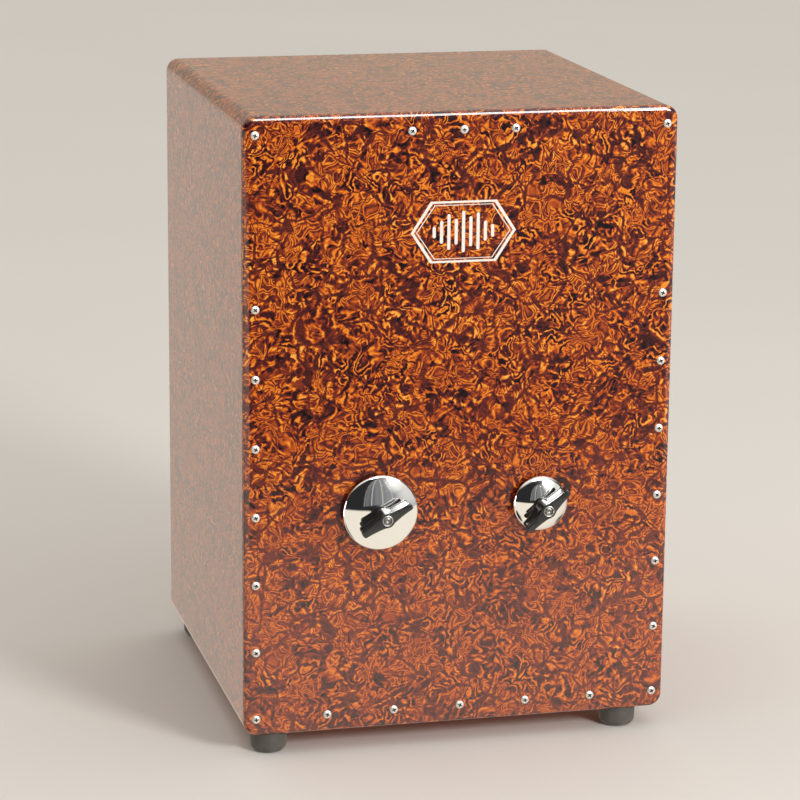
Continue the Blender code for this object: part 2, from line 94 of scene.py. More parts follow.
ROW_IN = 12.4
SIDE_PITCH = 49.07
SIDE_ROWS = 7
TOP_SCREWS_X = (-36.6, 0.0, 36.6)
BOTTOM_PITCH = 48.4
BOTTOM_SHIFT = 2.2
BOTTOM_SCREWS = 5
SCREW_LEN = 18.0
FOOT_X = {"left": -133.5, "right": 125.5}
FOOT_IN = 17.0
SNARE_BAR_Z = 372.0
SNARE_BAR_H = 18.0
SNARE_BAR_D = 14.0
SNARE_TEETH = 10
SNARE_PITCH = 5.0
SNARE_LEN = 96.0
SNARE_X = {"left": -52.0, "right": 52.0}

GAP = 0.3
Y_BACK = (BOX_D + 27.0) / 2
Y_FACE = Y_BACK - BOX_D
Y_SHELL = Y_FACE + PLATE_T + GAP
Z0 = FOOT_H
ZC = FOOT_H + BOX_H / 2
HX = WIDTH / 2
HZ = BOX_H / 2

BODY = {
    node: body
    for body, nodes in frame["record"]["behaviour"]["bodies"].items()
    for node in nodes
}


# ------------------------------------------------------------ shader helpers


def srgb(*c):
    """Display colour, 0 to 255, as linear light."""
    return tuple(
        (v / 255) / 12.92 if v / 255 <= 0.04045 else ((v / 255 + 0.055) / 1.055) ** 2.4
        for v in c
    )


class Nodes:
    """A short hand for building one node tree."""

    def __init__(self, owner):
        owner.use_nodes = True
        self.t = owner.node_tree
        self.t.nodes.clear()

    def n(self, kind, ins=None, **props):
        node = self.t.nodes.new(kind)
        for k, v in props.items():
            setattr(node, k, v)
        for k, v in (ins or {}).items():
            self.put(node.inputs[k], v)
        return node

    def put(self, socket, v):
        if isinstance(v, bpy.types.NodeSocket):
            self.t.links.new(v, socket)
        elif isinstance(v, bpy.types.Node):
            self.t.links.new(v.outputs[0], socket)
        elif isinstance(v, tuple) and len(v) == 3 and socket.type == "RGBA":
            socket.default_value = (*v, 1.0)
        else:
            socket.default_value = v

    def math(self, op, a, b=None, c=None, clamp=False):
        node = self.n("ShaderNodeMath", operation=op, use_clamp=clamp)
        for i, v in enumerate((a, b, c)):
            if v is not None:
                self.put(node.inputs[i], v)
        return node.outputs[0]

    def vmath(self, op, a, b=None, scale=None):
        node = self.n("ShaderNodeVectorMath", operation=op)
        self.put(node.inputs[0], a)
        if b is not None:
            self.put(node.inputs[1], b)
        if scale is not None:
            self.put(node.inputs["Scale"], scale)
        single = op in ("LENGTH", "DOT_PRODUCT", "DISTANCE")
        return node.outputs["Value"] if single else node.outputs[0]

    def noise(self, vec, scale, detail=2.0, rough=0.5, dist=0.0, colour=False):
        node = self.n(
            "ShaderNodeTexNoise",
            {
                "Vector": vec,
                "Scale": scale,
                "Detail": detail,
                "Roughness": rough,
                "Distortion": dist,
            },
            noise_dimensions="3D",
            normalize=True,
        )
        return node.outputs["Color"] if colour else node.outputs["Fac"]

    def ramp(self, fac, stops):
        node = self.n("ShaderNodeValToRGB", {"Fac": fac})
        cr = node.color_ramp
        while len(cr.elements) > 1:
            cr.elements.remove(cr.elements[-1])
        for i, (pos, col) in enumerate(stops):
            e = cr.elements[0] if i == 0 else cr.elements.new(pos)
            e.position = pos
            e.color = (*col, 1.0)
        return node.outputs["Color"]

    def tone(self, fac, stops):
        """A grey curve through (position, value) stops."""
        node = self.n("ShaderNodeValToRGB", {"Fac": fac})
        cr = node.color_ramp
        cr.interpolation = "EASE"
        while len(cr.elements) > 1:
            cr.elements.remove(cr.elements[-1])
        for i, (pos, v) in enumerate(stops):
            e = cr.elements[0] if i == 0 else cr.elements.new(pos)
            e.position = pos
            e.color = (v, v, v, 1.0)
        return node.outputs["Color"]

    def mix(self, fac, a, b, mode="MIX"):
        node = self.n("ShaderNodeMix", data_type="RGBA", blend_type=mode)
        self.put(node.inputs["Factor"], fac)
        self.put(node.inputs["A"], a)
        self.put(node.inputs["B"], b)
        return node.outputs["Result"]

    def mixf(self, fac, a, b):
        node = self.n(
            "ShaderNodeMix", {"Factor": fac, 2: a, 3: b}, data_type="FLOAT"
        )
        return node.outputs[0]

    def remap(self, v, a, b, c=0.0, d=1.0, smooth=False):
        return self.n(
            "ShaderNodeMapRange",
            {"Value": v, "From Min": a, "From Max": b, "To Min": c, "To Max": d},
            interpolation_type="SMOOTHSTEP" if smooth else "LINEAR",
            clamp=True,
        ).outputs[0]

    def voronoi(self, p, scale, feature="DISTANCE_TO_EDGE", out="Distance"):
        return self.n(
            "ShaderNodeTexVoronoi",
            {"Vector": p, "Scale": scale, "Randomness": 1.0},
            voronoi_dimensions="3D",
            feature=feature,
        ).outputs[out]

    def warp(self, p, scale, amount, detail=1.0):
        """p pushed about by a smooth field."""
        w = self.noise(p, scale, detail, 0.5, colour=True)
        w = self.vmath("SUBTRACT", w, (0.5, 0.5, 0.5))
        return self.vmath("ADD", p, self.vmath("SCALE", w, scale=amount))

    def place(self):
        return self.n("ShaderNodeTexCoord").outputs["Object"]

    def xyz(self, p):
        return self.n("ShaderNodeSeparateXYZ", {0: p}).outputs

    def bump(self, height, distance, strength=1.0, after=None):
        ins = {"Height": height, "Distance": distance, "Strength": strength}
        if after is not None:
            ins["Normal"] = after
        return self.n("ShaderNodeBump", ins).outputs[0]

    def principled(self, **ins):
        """Ends the tree in a Principled surface."""
        names = {k.replace("_", " "): v for k, v in ins.items()}
        shader = self.n("ShaderNodeBsdfPrincipled", names)
        self.n("ShaderNodeOutputMaterial", {"Surface": shader})
        return shader


def new_material(name):
    made = bpy.data.materials.new(name)
    return made, Nodes(made)


# ----------------------------------------------------------------- materials


def own_ways(nt, p, scale, stretch, shift):
    """p stretched a different way in each cell of a loose cluster pattern."""
    cell = nt.voronoi(nt.vmath("ADD", p, shift), scale, "F1", "Color")
    angle = nt.math("MULTIPLY", nt.xyz(cell)[0], 6.283)
    axis = nt.vmath("ADD", cell, (-0.5, -0.5, -0.5))
    spun = nt.n(
        "ShaderNodeVectorRotate",
        {"Vector": p, "Axis": axis, "Angle": angle},
        rotation_type="AXIS_ANGLE",
    ).outputs[0]
    return nt.vmath("MULTIPLY", spun, stretch)


def burl_colour(nt, p, painted_wash):
    """Folded figure of a burl film: bright walls looped round dark eyes,
    patches of hatching and of winding bands, and brown creases of two sizes
    with a bright lip along them. The last argument draws it all towards the
    middle tone: a painted reflection wash, not part of the film."""
    p = nt.vmath("SCALE", p, scale=1.04)
    p1 = nt.warp(p, 48, 0.018)
    p2 = nt.warp(p1, 150, 0.0050)
    grain = nt.noise(nt.warp(p, 130, 0.007), 300, 1.6, 0.6, 0.2)

    # loops: long warped cells, read by the distance from their walls
    cells = own_ways(nt, nt.warp(p, 60, 0.016), 44, (0.42, 1.0, 0.8), (0, 0, 0))
    cells = nt.warp(nt.warp(cells, 110, 0.006), 330, 0.0018)
    wall = nt.voronoi(cells, 150)
    loops = nt.tone(
        wall,
        [(0.0, 0.20), (0.035, 0.46), (0.075, 0.92), (0.12, 0.80), (0.165, 0.38), (0.23, 0.22), (0.29, 0.42), (0.36, 0.58)],
    )

    # hatching, and bands that wind round a slow field
    q = own_ways(nt, nt.warp(p, 60, 0.014), 46, (0.22, 1.0, 0.6), (0.5, 0.3, 0.9))
    hatch = nt.remap(nt.noise(q, 340, 1.0, 0.5, 0.4), 0.42, 0.68)
    phase = nt.math(
        "ADD",
        nt.math("MULTIPLY", nt.noise(p2, 58, 1.0, 0.5), 8.0),
        nt.math("MULTIPLY", grain, 1.2),
    )
    bands = nt.math("MULTIPLY_ADD", nt.math("SINE", nt.math("MULTIPLY", phase, 6.2832)), 0.5, 0.5)
    bands = nt.math("POWER", bands, 1.6)
    some = nt.remap(nt.noise(p1, 70, 1.0), 0.47, 0.55, smooth=True)
    most = nt.remap(
        nt.noise(nt.vmath("ADD", p1, (2.1, 0.4, 0.2)), 62, 1.0), 0.46, 0.54, smooth=True
    )
    figure = nt.mixf(most, nt.mixf(some, bands, hatch), loops)

    # creases
    e1 = nt.voronoi(nt.warp(nt.warp(p, 40, 0.018), 130, 0.005), 25)
    fade1 = nt.remap(nt.noise(p, 34, 1), 0.40, 0.60, smooth=True)
    w1 = nt.math("MULTIPLY_ADD", fade1, 0.018, 0.006)
    crease1 = nt.remap(nt.math("DIVIDE", e1, w1), 0.55, 1.35, 1.0, 0.0, True)
    e2 = nt.voronoi(nt.warp(nt.warp(p1, 90, 0.008), 220, 0.003), 54)
    fade2 = nt.remap(
        nt.noise(nt.vmath("ADD", p, (1.3, 0.2, 0.7)), 50, 1), 0.38, 0.58, smooth=True
    )
    w2 = nt.math("MULTIPLY_ADD", fade2, 0.050, 0.012)
    crease2 = nt.remap(nt.math("DIVIDE", e2, w2), 0.5, 1.3, 1.0, 0.0, True)
    crease2 = nt.math("MULTIPLY", crease2, fade2)

    def lip(edge, width, beyond, spread, fade):
        off = nt.math("SUBTRACT", edge, nt.math("ADD", width, beyond))
        near = nt.remap(nt.math("ABSOLUTE", off), 0.0, spread, 1.0, 0.0, True)
        return nt.math("MULTIPLY", near, fade)

    swing = nt.remap(
        nt.noise(nt.vmath("ADD", p, (0.3, 2.2, 0.7)), 26, 1), 0.36, 0.64, 0.66, 0.86
    )
    h = nt.math("MULTIPLY_ADD", nt.math("SUBTRACT", figure, 0.5), swing, 0.50)
    h = nt.math("ADD", h, nt.math("MULTIPLY", nt.math("SUBTRACT", grain, 0.5), 0.50))
    h = nt.math("ADD", h, nt.math("MULTIPLY", lip(e1, w1, 0.035, 0.03, fade1), 0.18))
    h = nt.math("ADD", h, nt.math("MULTIPLY", lip(e2, w2, 0.05, 0.05, fade2), 0.20))
    eyes = nt.math(
        "MULTIPLY",
        nt.remap(nt.noise(p2, 190, 1.0), 0.57, 0.64, smooth=True),
        nt.remap(figure, 0.05, 0.4, 1.0, 0.0, True),
    )
    h = nt.math("SUBTRACT", h, nt.math("MULTIPLY", eyes, 0.30))
    h = nt.mixf(nt.math("MULTIPLY", crease2, 0.70), h, 0.19)
    h = nt.mixf(nt.math("MULTIPLY", crease1, 0.62), h, 0.22)
    # painted reflection wash: the figure's contrast is pulled to the middle tone by height
    h = nt.mixf(painted_wash, h, 0.47)
    col = nt.ramp(
        h,
        [
            (0.0, srgb(20, 6, 9)),
            (0.10, srgb(46, 15, 17)),
            (0.26, srgb(80, 29, 26)),
            (0.40, srgb(121, 46, 27)),
            (0.56, srgb(174, 73, 26)),
            (0.74, srgb(222, 113, 28)),
            (0.90, srgb(244, 151, 42)),
            (1.0, srgb(250, 180, 74)),
        ],
    )
    return nt.mix(nt.math("MULTIPLY", crease1, 0.3), col, srgb(78, 36, 32))


def burl_material(name, offset, painted_wash):
    """Burl film under clear gloss lacquer with a faint orange peel, fine
    polishing haze and a few hairline marks. The last argument is how much the
    film loses in contrast at its foot and at its head: a painted reflection
    wash set by height, not a change in the film."""
    mat, nt = new_material(name)
    p = nt.vmath("ADD", nt.place(), offset)
    height = nt.xyz(nt.place())[2]
    # the contrast lost at the foot and the head is a painted reflection wash, set by height
    col = burl_colour(nt, p, nt.remap(height, 0.05, 0.33, *painted_wash, True))
    peel = nt.noise(p, 210, 2.0, 0.55)
    swell = nt.noise(p, 14, 1.0)
    normal = nt.bump(nt.math("ADD", nt.math("MULTIPLY", peel, 0.18), swell), 0.00012, 1.0)
    haze = nt.remap(nt.noise(p, 9, 3.0), 0.3, 0.7, 0.045, 0.085)
    hair = nt.noise(nt.vmath("MULTIPLY", p, (0.25, 1.0, 1.6)), 900, 1.0)
    haze = nt.math("ADD", haze, nt.remap(hair, 0.70, 0.78, 0.0, 0.10))
    nt.principled(
        Base_Color=col,
        Roughness=nt.remap(peel, 0.3, 0.7, 0.22, 0.32),
        Specular_IOR_Level=0.0,
        Coat_Weight=1.0,
        Coat_Roughness=haze,
        Coat_IOR=1.75,
        Coat_Normal=normal,
    )
    return mat


def wood_colour(nt, p, axis):
    """Rotary-cut birch: long soft figure along one axis, fine pores."""
    stretch = {
        "X": (0.06, 1.0, 1.0),
        "Y": (1.0, 0.06, 1.0),
        "Z": (1.0, 1.0, 0.06),
    }[axis]
    q = nt.vmath("MULTIPLY", nt.warp(p, 6, 0.02), stretch)
    broad = nt.noise(q, 42, 3.0, 0.6, 0.8)
    fine = nt.noise(q, 520, 2.0, 0.6)
    pores = nt.remap(nt.noise(q, 1500, 1.0), 0.66, 0.74)
    rings = nt.math("SINE", nt.math("MULTIPLY", broad, 46.0))
    tone = nt.math("MULTIPLY_ADD", rings, 0.16, nt.math("MULTIPLY_ADD", fine, 0.5, 0.25))
    col = nt.ramp(
        tone,
        [
            (0.15, srgb(171, 128, 84)),
            (0.42, srgb(202, 163, 114)),
            (0.62, srgb(219, 185, 137)),
            (0.9, srgb(231, 203, 160)),
        ],
    )
    return nt.mix(nt.math("MULTIPLY", pores, 0.5), col, srgb(142, 98, 60)), tone


def wood_material(name, axis):
    mat, nt = new_material(name)
    p = nt.place()
    col, tone = wood_colour(nt, p, axis)
    nt.principled(
        Base_Color=col,
        Roughness=nt.remap(tone, 0.2, 0.8, 0.62, 0.78),
        Normal=nt.bump(tone, 0.00015, 0.6),
    )
    return mat


def ply_edge_material(name, start, layer):
    """Veneers stacked along Y, every other one end grain, with dark glue."""
    mat, nt = new_material(name)
    p = nt.place()
    y = nt.math("DIVIDE", nt.math("SUBTRACT", nt.xyz(p)[1], start), layer)
    y = nt.math("ADD", y, nt.math("MULTIPLY", nt.noise(p, 60, 2.0), 0.18))
    frac = nt.math("FRACT", y)
    glue = nt.remap(nt.math("ABSOLUTE", nt.math("SUBTRACT", frac, 0.5)), 0.42, 0.48)
    odd = nt.math("GREATER_THAN", nt.math("FRACT", nt.math("MULTIPLY", y, 0.5)), 0.5)
    pale, _ = wood_colour(nt, p, "X")
    end = nt.mix(nt.noise(p, 1400, 2.0), srgb(168, 122, 78), srgb(122, 82, 50))
    col = nt.mix(odd, pale, end)
    col = nt.mix(nt.math("MULTIPLY", glue, 0.7), col, srgb(74, 46, 28))
    nt.principled(
        Base_Color=col,
        Roughness=0.7,
        Normal=nt.bump(nt.math("ADD", frac, nt.noise(p, 1400, 2.0)), 0.00008, 0.5),
    )
    return mat


def metal_material(name, low, high, rough, spots=0.35, metal=1.0):
    """Plated steel: cloudy plating, fine pits, handling marks."""
    mat, nt = new_material(name)
    p = nt.place()
    cloud = nt.noise(p, 260, 4.0, 0.6)
    marks = nt.noise(nt.warp(p, 300, 0.003), 1600, 3.0, 0.65)
    col = nt.mix(nt.remap(cloud, 0.3, 0.7), low, high)
    col = nt.mix(nt.remap(marks, 0.62, 0.74, 0.0, spots), col, srgb(96, 92, 88))
    r = nt.math("ADD", nt.remap(cloud, 0.3, 0.7, rough * 0.75, rough * 1.3), nt.remap(marks, 0.6, 0.75, 0.0, 0.12))
    nt.principled(
        Base_Color=col,
        Metallic=metal,
        Roughness=r,
        Normal=nt.bump(marks, 0.00003, 0.5),
    )
    return mat


def jingle_material(name):
    """Polished nickel disc: spun lathe rings under the polish, fine
    scratches that run every way, faint finger haze."""
    mat, nt = new_material(name)
    p = nt.place()
    x, y, _ = nt.xyz(p)
    radius = nt.math("SQRT", nt.math("ADD", nt.math("MULTIPLY", x, x), nt.math("MULTIPLY", y, y)))
    ring_at = nt.n("ShaderNodeCombineXYZ", {0: radius, 1: 0.0, 2: 0.0}).outputs[0]
    rings = nt.noise(ring_at, 2600, 2.0, 0.6)
    scratch = nt.noise(nt.vmath("MULTIPLY", nt.warp(p, 60, 0.01), (0.05, 1.0, 1.0)), 3200, 1.0)
    scratch = nt.remap(scratch, 0.70, 0.76)
    haze = nt.noise(p, 70, 3.0, 0.6)
    r = nt.math("ADD", nt.remap(haze, 0.35, 0.7, 0.02, 0.07), nt.math("MULTIPLY", scratch, 0.10))
    height = nt.math("ADD", nt.math("MULTIPLY", rings, 0.6), nt.math("MULTIPLY", nt.noise(p, 120, 1.0), 1.6))
    nt.principled(
        Base_Color=nt.mix(haze, srgb(236, 234, 229), srgb(246, 245, 242)),
        Metallic=1.0,
        Roughness=r,
        Normal=nt.bump(height, 0.0000045, 1.0),
    )
    return mat


def plastic_material(name, base, rough, grain=0.00004):
    """Moulded plastic: fine spark texture, slight flow marks, worn gloss."""
    mat, nt = new_material(name)
    p = nt.place()
    spark = nt.noise(p, 2600, 2.0, 0.6)
    flow = nt.noise(nt.vmath("MULTIPLY", p, (0.4, 1.0, 1.0)), 130, 3.0, 0.6)
    col = nt.mix(flow, base, tuple(min(1.0, c * 1.45 + 0.002) for c in base))
    r = nt.math("ADD", nt.remap(flow, 0.3, 0.7, rough * 0.8, rough * 1.25), nt.remap(spark, 0.6, 0.8, 0.0, 0.08))
    nt.principled(Base_Color=col, Roughness=r, Normal=nt.bump(spark, grain, 0.5))
    return mat


def rubber_material(name):
    mat, nt = new_material(name)
    p = nt.place()
    fine = nt.noise(p, 1900, 3.0, 0.65)
    patch_noise = nt.noise(p, 150, 4.0, 0.6)
    z = nt.xyz(p)[2]
    # paler in noise patches within 6 mm of the floor
    low = nt.remap(z, 0.0, 0.006, 1.0, 0.25, True)
    paler_low_patches = nt.math("MULTIPLY", nt.remap(patch_noise, 0.45, 0.75), low)
    col = nt.mix(fine, srgb(74, 71, 67), srgb(94, 90, 85))
    col = nt.mix(nt.math("MULTIPLY", paler_low_patches, 0.6), col, srgb(150, 141, 130))
    nt.principled(
        Base_Color=col,
        Roughness=nt.remap(fine, 0.3, 0.7, 0.52, 0.70),
        Normal=nt.bump(fine, 0.00012, 0.6),
    )
    return mat


def felt_material(name):
    """Pressed wool: matted fibres in every direction, with loose fuzz."""
    mat, nt = new_material(name)
    p = nt.warp(nt.place(), 500, 0.002, 2.0)
    a = nt.noise(nt.vmath("MULTIPLY", p, (0.16, 1.0, 1.0)), 2400, 2.0, 0.6)
    b = nt.noise(nt.vmath("MULTIPLY", p, (1.0, 0.16, 1.0)), 2400, 2.0, 0.6)
    c = nt.noise(nt.vmath("MULTIPLY", p, (1.0, 1.0, 0.16)), 2400, 2.0, 0.6)
    fibre = nt.math("MAXIMUM", nt.math("MAXIMUM", a, b), c)
    col = nt.ramp(fibre, [(0.45, srgb(22, 22, 23)), (0.6, srgb(48, 48, 50)), (0.75, srgb(88, 87, 88))])
    nt.principled(
        Base_Color=col,
        Roughness=0.95,
        Sheen_Weight=0.6,
        Sheen_Roughness=0.5,
        Normal=nt.bump(fibre, 0.0004, 0.9),
    )
    return mat


def print_material(name):
    """Pale silver ink, slightly open where it sits on the lacquer."""
    mat, nt = new_material(name)
    p = nt.place()
    grain = nt.noise(p, 2600, 3.0, 0.6)
    cloud = nt.noise(p, 90, 2.0)
    col = nt.mix(grain, srgb(236, 228, 218), srgb(252, 247, 238))
    col = nt.mix(nt.remap(cloud, 0.5, 0.8, 0.0, 0.25), col, srgb(214, 200, 186))
    nt.principled(Base_Color=col, Roughness=nt.remap(grain, 0.3, 0.7, 0.28, 0.42), Normal=nt.bump(grain, 0.00002, 0.5))
    return mat


M = {
    # each burl's last pair is its painted reflection wash at the foot and at the head
    "front": burl_material("burl_front", (0.03, 0.35, 0.11), (0.34, 0.0)),
    "shell": burl_material("burl_shell", (0.61, 0.0, 0.27), (0.36, 0.30)),
    "back": burl_material("burl_back", (1.71, 0.42, 0.93), (0.20, 0.0)),
    "ply_x": wood_material("ply_face_x", "X"),
    "ply_y": wood_material("ply_face_y", "Y"),
    "ply_z": wood_material("ply_face_z", "Z"),
    "ply_edge": ply_edge_material("ply_edge", (Y_BACK - REBATE_D) * MM, 0.00125),
    "screw": metal_material("screw_plate", srgb(226, 223, 217), srgb(244, 242, 237), 0.44, 0.14, 0.8),
    "recess": plastic_material("recess_shade", srgb(42, 36, 32), 0.5),
    "bolt": metal_material("zinc_bolt", srgb(120, 118, 114), srgb(154, 151, 146), 0.34),
    "insert": metal_material("turned_insert", srgb(222, 220, 216), srgb(244, 242, 238), 0.30, 0.12),
    "jingle": jingle_material("polished_jingle"),
    "wing": plastic_material("wing_nut_plastic", srgb(38, 37, 36), 0.17),
    "nylon": plastic_material("sleeve_nylon", srgb(216, 212, 201), 0.42, 0.00006),
    "rubber": rubber_material("foot_rubber"),
    "felt": felt_material("pressed_felt"),
    "wire": metal_material("snare_wire", srgb(188, 184, 176), srgb(222, 218, 210), 0.2),
    "ink": print_material("silver_ink"),
}


# ------------------------------------------------------------- mesh helpers


def face_outwards(bm):
    bmesh.ops.recalc_face_normals(bm, faces=bm.faces)
    if bm.calc_volume(signed=True) < 0:
        bmesh.ops.reverse_faces(bm, faces=bm.faces)


def shade(mesh, sharp):
    mesh.shade_smooth()
    mesh.set_sharp_from_angle(angle=math.radians(sharp))
    return mesh


def finish_mesh(name, bm, sharp=32.0, outwards=True):
    bmesh.ops.remove_doubles(bm, verts=bm.verts, dist=1e-8)
    if outwards:
        face_outwards(bm)
    mesh = bpy.data.meshes.new(name)
    bm.to_mesh(mesh)
    bm.free()
    return shade(mesh, sharp)


def skin(bm, rings, ends="caps", look=None):
    """Faces over rings of equal length, millimetres in. ends is caps, open,
    or loop where the last ring meets the first. look(ring, point) gives a
    face's material index."""
    rows = [[bm.verts.new(Vector(p) * MM) for p in ring] for ring in rings]
    count = len(rows[0])
    pairs = list(zip(rows, rows[1:]))
    if ends == "loop":
        pairs.append((rows[-1], rows[0]))
    for r, (a, b) in enumerate(pairs):
        for i in range(count):
            j = (i + 1) % count
            face = bm.faces.new((a[i], a[j], b[j], b[i]))
            if look:
                face.material_index = look(r, i)
    if ends == "caps":
        first = bm.faces.new(rows[0])
        last = bm.faces.new(list(reversed(rows[-1])))
        if look:
            first.material_index = look(-1, -1)
            last.material_index = look(len(rows), -1)


def loft(name, rings, ends="caps", sharp=32.0, look=None):
    bm = bmesh.new()
    skin(bm, rings, ends, look)
    return finish_mesh(name, bm, sharp)


def spin_into(bm, profile, steps):
    """(radius, height) points turned round Z: a solid where the profile
    starts and ends on the axis, and a ring where it never meets it."""
    rows = []
    for radius, height in profile:
        if radius < 1e-6:
            rows.append([bm.verts.new((0, 0, height * MM))])
            continue
        rows.append(
            [
                bm.verts.new(
                    (
                        radius * MM * math.cos(2 * math.pi * k / steps),
                        radius * MM * math.sin(2 * math.pi * k / steps),
                        height * MM,
                    )
                )
                for k in range(steps)
            ]
        )
    pairs = list(zip(rows, rows[1:]))
    if len(rows[0]) > 1:
        pairs.append((rows[-1], rows[0]))
    for a, b in pairs:
        for k in range(steps):
            j = (k + 1) % steps
            corners = [a[k % len(a)]]
            if len(a) > 1:
                corners.append(a[j])
            corners.append(b[j % len(b)])
            if len(b) > 1:
                corners.append(b[k])
            bm.faces.new(corners)


def turned(name, profile, steps=96, sharp=32.0):
    bm = bmesh.new()
    spin_into(bm, profile, steps)
    return finish_mesh(name, bm, sharp)


def eased(points, ease, steps=5):
    """A closed profile with every corner rounded by up to ease."""
    out = []
    count = len(points)
    for i in range(count):
        a, b, c = (Vector(points[(i + k) % count]) for k in (-1, 0, 1))
        into, away = (a - b), (c - b)
        r = min(ease, into.length * 0.45, away.length * 0.45)
        into.normalize()
        away.normalize()
        p, q = b + into * r, b + away * r
        for k in range(steps + 1):
            t = k / steps
            out.append(tuple(p * (1 - t) ** 2 + b * 2 * t * (1 - t) + q * t * t))
    return out


def arc(cx, cz, radius, start, end, steps):
    return [
        (
            cx + radius * math.cos(math.radians(start + (end - start) * k / steps)),
            cz + radius * math.sin(math.radians(start + (end - start) * k / steps)),
        )
        for k in range(steps + 1)
    ]


def edge_round(radius, steps):
    return [
        (
            radius * (1 - math.cos(math.pi / 2 * k / steps)),
            radius * (1 - math.sin(math.pi / 2 * k / steps)),
        )
        for k in range(steps + 1)
    ]


def drill(bm, centre, radius, length, axis, steps=24, look=1):
    turn = {
        "Y": Matrix.Rotation(math.pi / 2, 4, "X"),
        "Z": Matrix.Identity(4),
    }[axis]
    made = bmesh.ops.create_cone(
        bm,
        cap_ends=True,
        segments=steps,
        radius1=radius * MM,
        radius2=radius * MM,
        depth=length * MM,
        matrix=Matrix.Translation(Vector(centre) * MM) @ turn,
    )
    for v in made["verts"]:
        for f in v.link_faces:
            f.material_index = look


def carve(mesh, tool_bm, looks, sharp=32.0):
    """mesh less the tool's shapes, as a new mesh."""
    face_outwards(tool_bm)
    tool_mesh = bpy.data.meshes.new("tool")
    tool_bm.to_mesh(tool_mesh)
    tool_bm.free()
    for look in looks:
        mesh.materials.append(look)
        tool_mesh.materials.append(look)
    work = bpy.data.objects.new("work", mesh)
    tool = bpy.data.objects.new("tool", tool_mesh)
    for o in (work, tool):
        bpy.context.scene.collection.objects.link(o)
    mod = work.modifiers.new("cut", "BOOLEAN")
    mod.operation = "DIFFERENCE"
    mod.solver = "EXACT"
    mod.object = tool
    bpy.context.view_layer.update()
    graph = bpy.context.evaluated_depsgraph_get()
    out = bpy.data.meshes.new_from_object(work.evaluated_get(graph))
    name = mesh.name
    for o in (work, tool):
        bpy.data.objects.remove(o)
    bpy.data.meshes.remove(mesh)
    bpy.data.meshes.remove(tool_mesh)
    out.name = name
    return shade(out, sharp)


def piece(name, mesh, looks, node, matrix=None):
    """A finished piece that stands for a node and rides on its body."""
    if not mesh.materials:
        for look in looks:
            mesh.materials.append(look)
    obj = bpy.data.objects.new(name, mesh)
    bpy.context.scene.collection.objects.link(obj)
    if matrix is not None:
        obj.matrix_world = matrix
    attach(obj, BODY[node])
    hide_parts(node)
    return obj


def helix_rows(start, end, core, major, pitch, per_turn, steps, crest=0.18, fade=1.5):
    """Rings of a threaded rod: the radius at each angle and height follows
    the thread's wedge profile, fading out at both ends."""
    rings = []
    count = int((end - start) / pitch * per_turn)
    for r in range(count + 1):
        h = start + (end - start) * r / count
        ends = min(1.0, (h - start) / (fade * pitch), (end - h) / (fade * pitch))
        ring = []
        for k in range(steps):
            t = ((h / pitch) - k / steps) % 1.0
            wedge = abs(t - 0.5) * 2.0
            wedge = min(1.0, max(0.0, (1.0 - wedge - crest / 2) / (1.0 - crest)))
            radius = core + (major - core) * wedge * max(0.0, ends)
            a = 2 * math.pi * k / steps
            ring.append((radius * math.cos(a), radius * math.sin(a), h))
        rings.append(ring)
    return rings


def ring_at(radius, height, steps):
    return [
        (
            radius * math.cos(2 * math.pi * k / steps),
            radius * math.sin(2 * math.pi * k / steps),
            height,
        )
        for k in range(steps)
    ]


# ----------------------------------------------------------------- the shell


def screw_places():
    """(node, x, z) of every front plate screw, z above the box bottom."""
    places = []
    for side, sign in (("left", -1), ("right", 1)):
        x = sign * (HX - SIDE_SCREW_IN)
        for k in range(SIDE_ROWS):
            places.append((f"plate_screw_{side}_{k + 1}", x, ROW_IN + SIDE_PITCH * k))
        places.append((f"plate_screw_{side}_{SIDE_ROWS + 1}", x, BOX_H - ROW_IN))
    for k, x in enumerate(TOP_SCREWS_X):
        places.append((f"plate_screw_top_{k + 1}", x, BOX_H - ROW_IN))
    for k in range(BOTTOM_SCREWS):
        x = BOTTOM_SHIFT + BOTTOM_PITCH * (k - (BOTTOM_SCREWS - 1) / 2)
        places.append((f"plate_screw_bottom_{k + 1}", x, ROW_IN))
    return places


def panel_section(half, other, inset, rebate):
    """Section of the upper panel of a frame 2*half high and 2*other wide, in
    (across, up), with support points where the corner round meets the flat."""
    radius = CORNER_R - inset
    lean = math.degrees(math.asin(SEAM / 2 / radius))
    right = arc(other - CORNER_R, half - CORNER_R, radius, 45 + lean, 90, 22)
    right.append((other - CORNER_R - 0.5, half - inset))
    left = [(-x, z) for x, z in reversed(right)]
    up = half - PANEL_T + rebate
    across = other - PANEL_T + rebate - SEAM / math.sqrt(2)
    return right + left + [(-across, up), (across, up)]


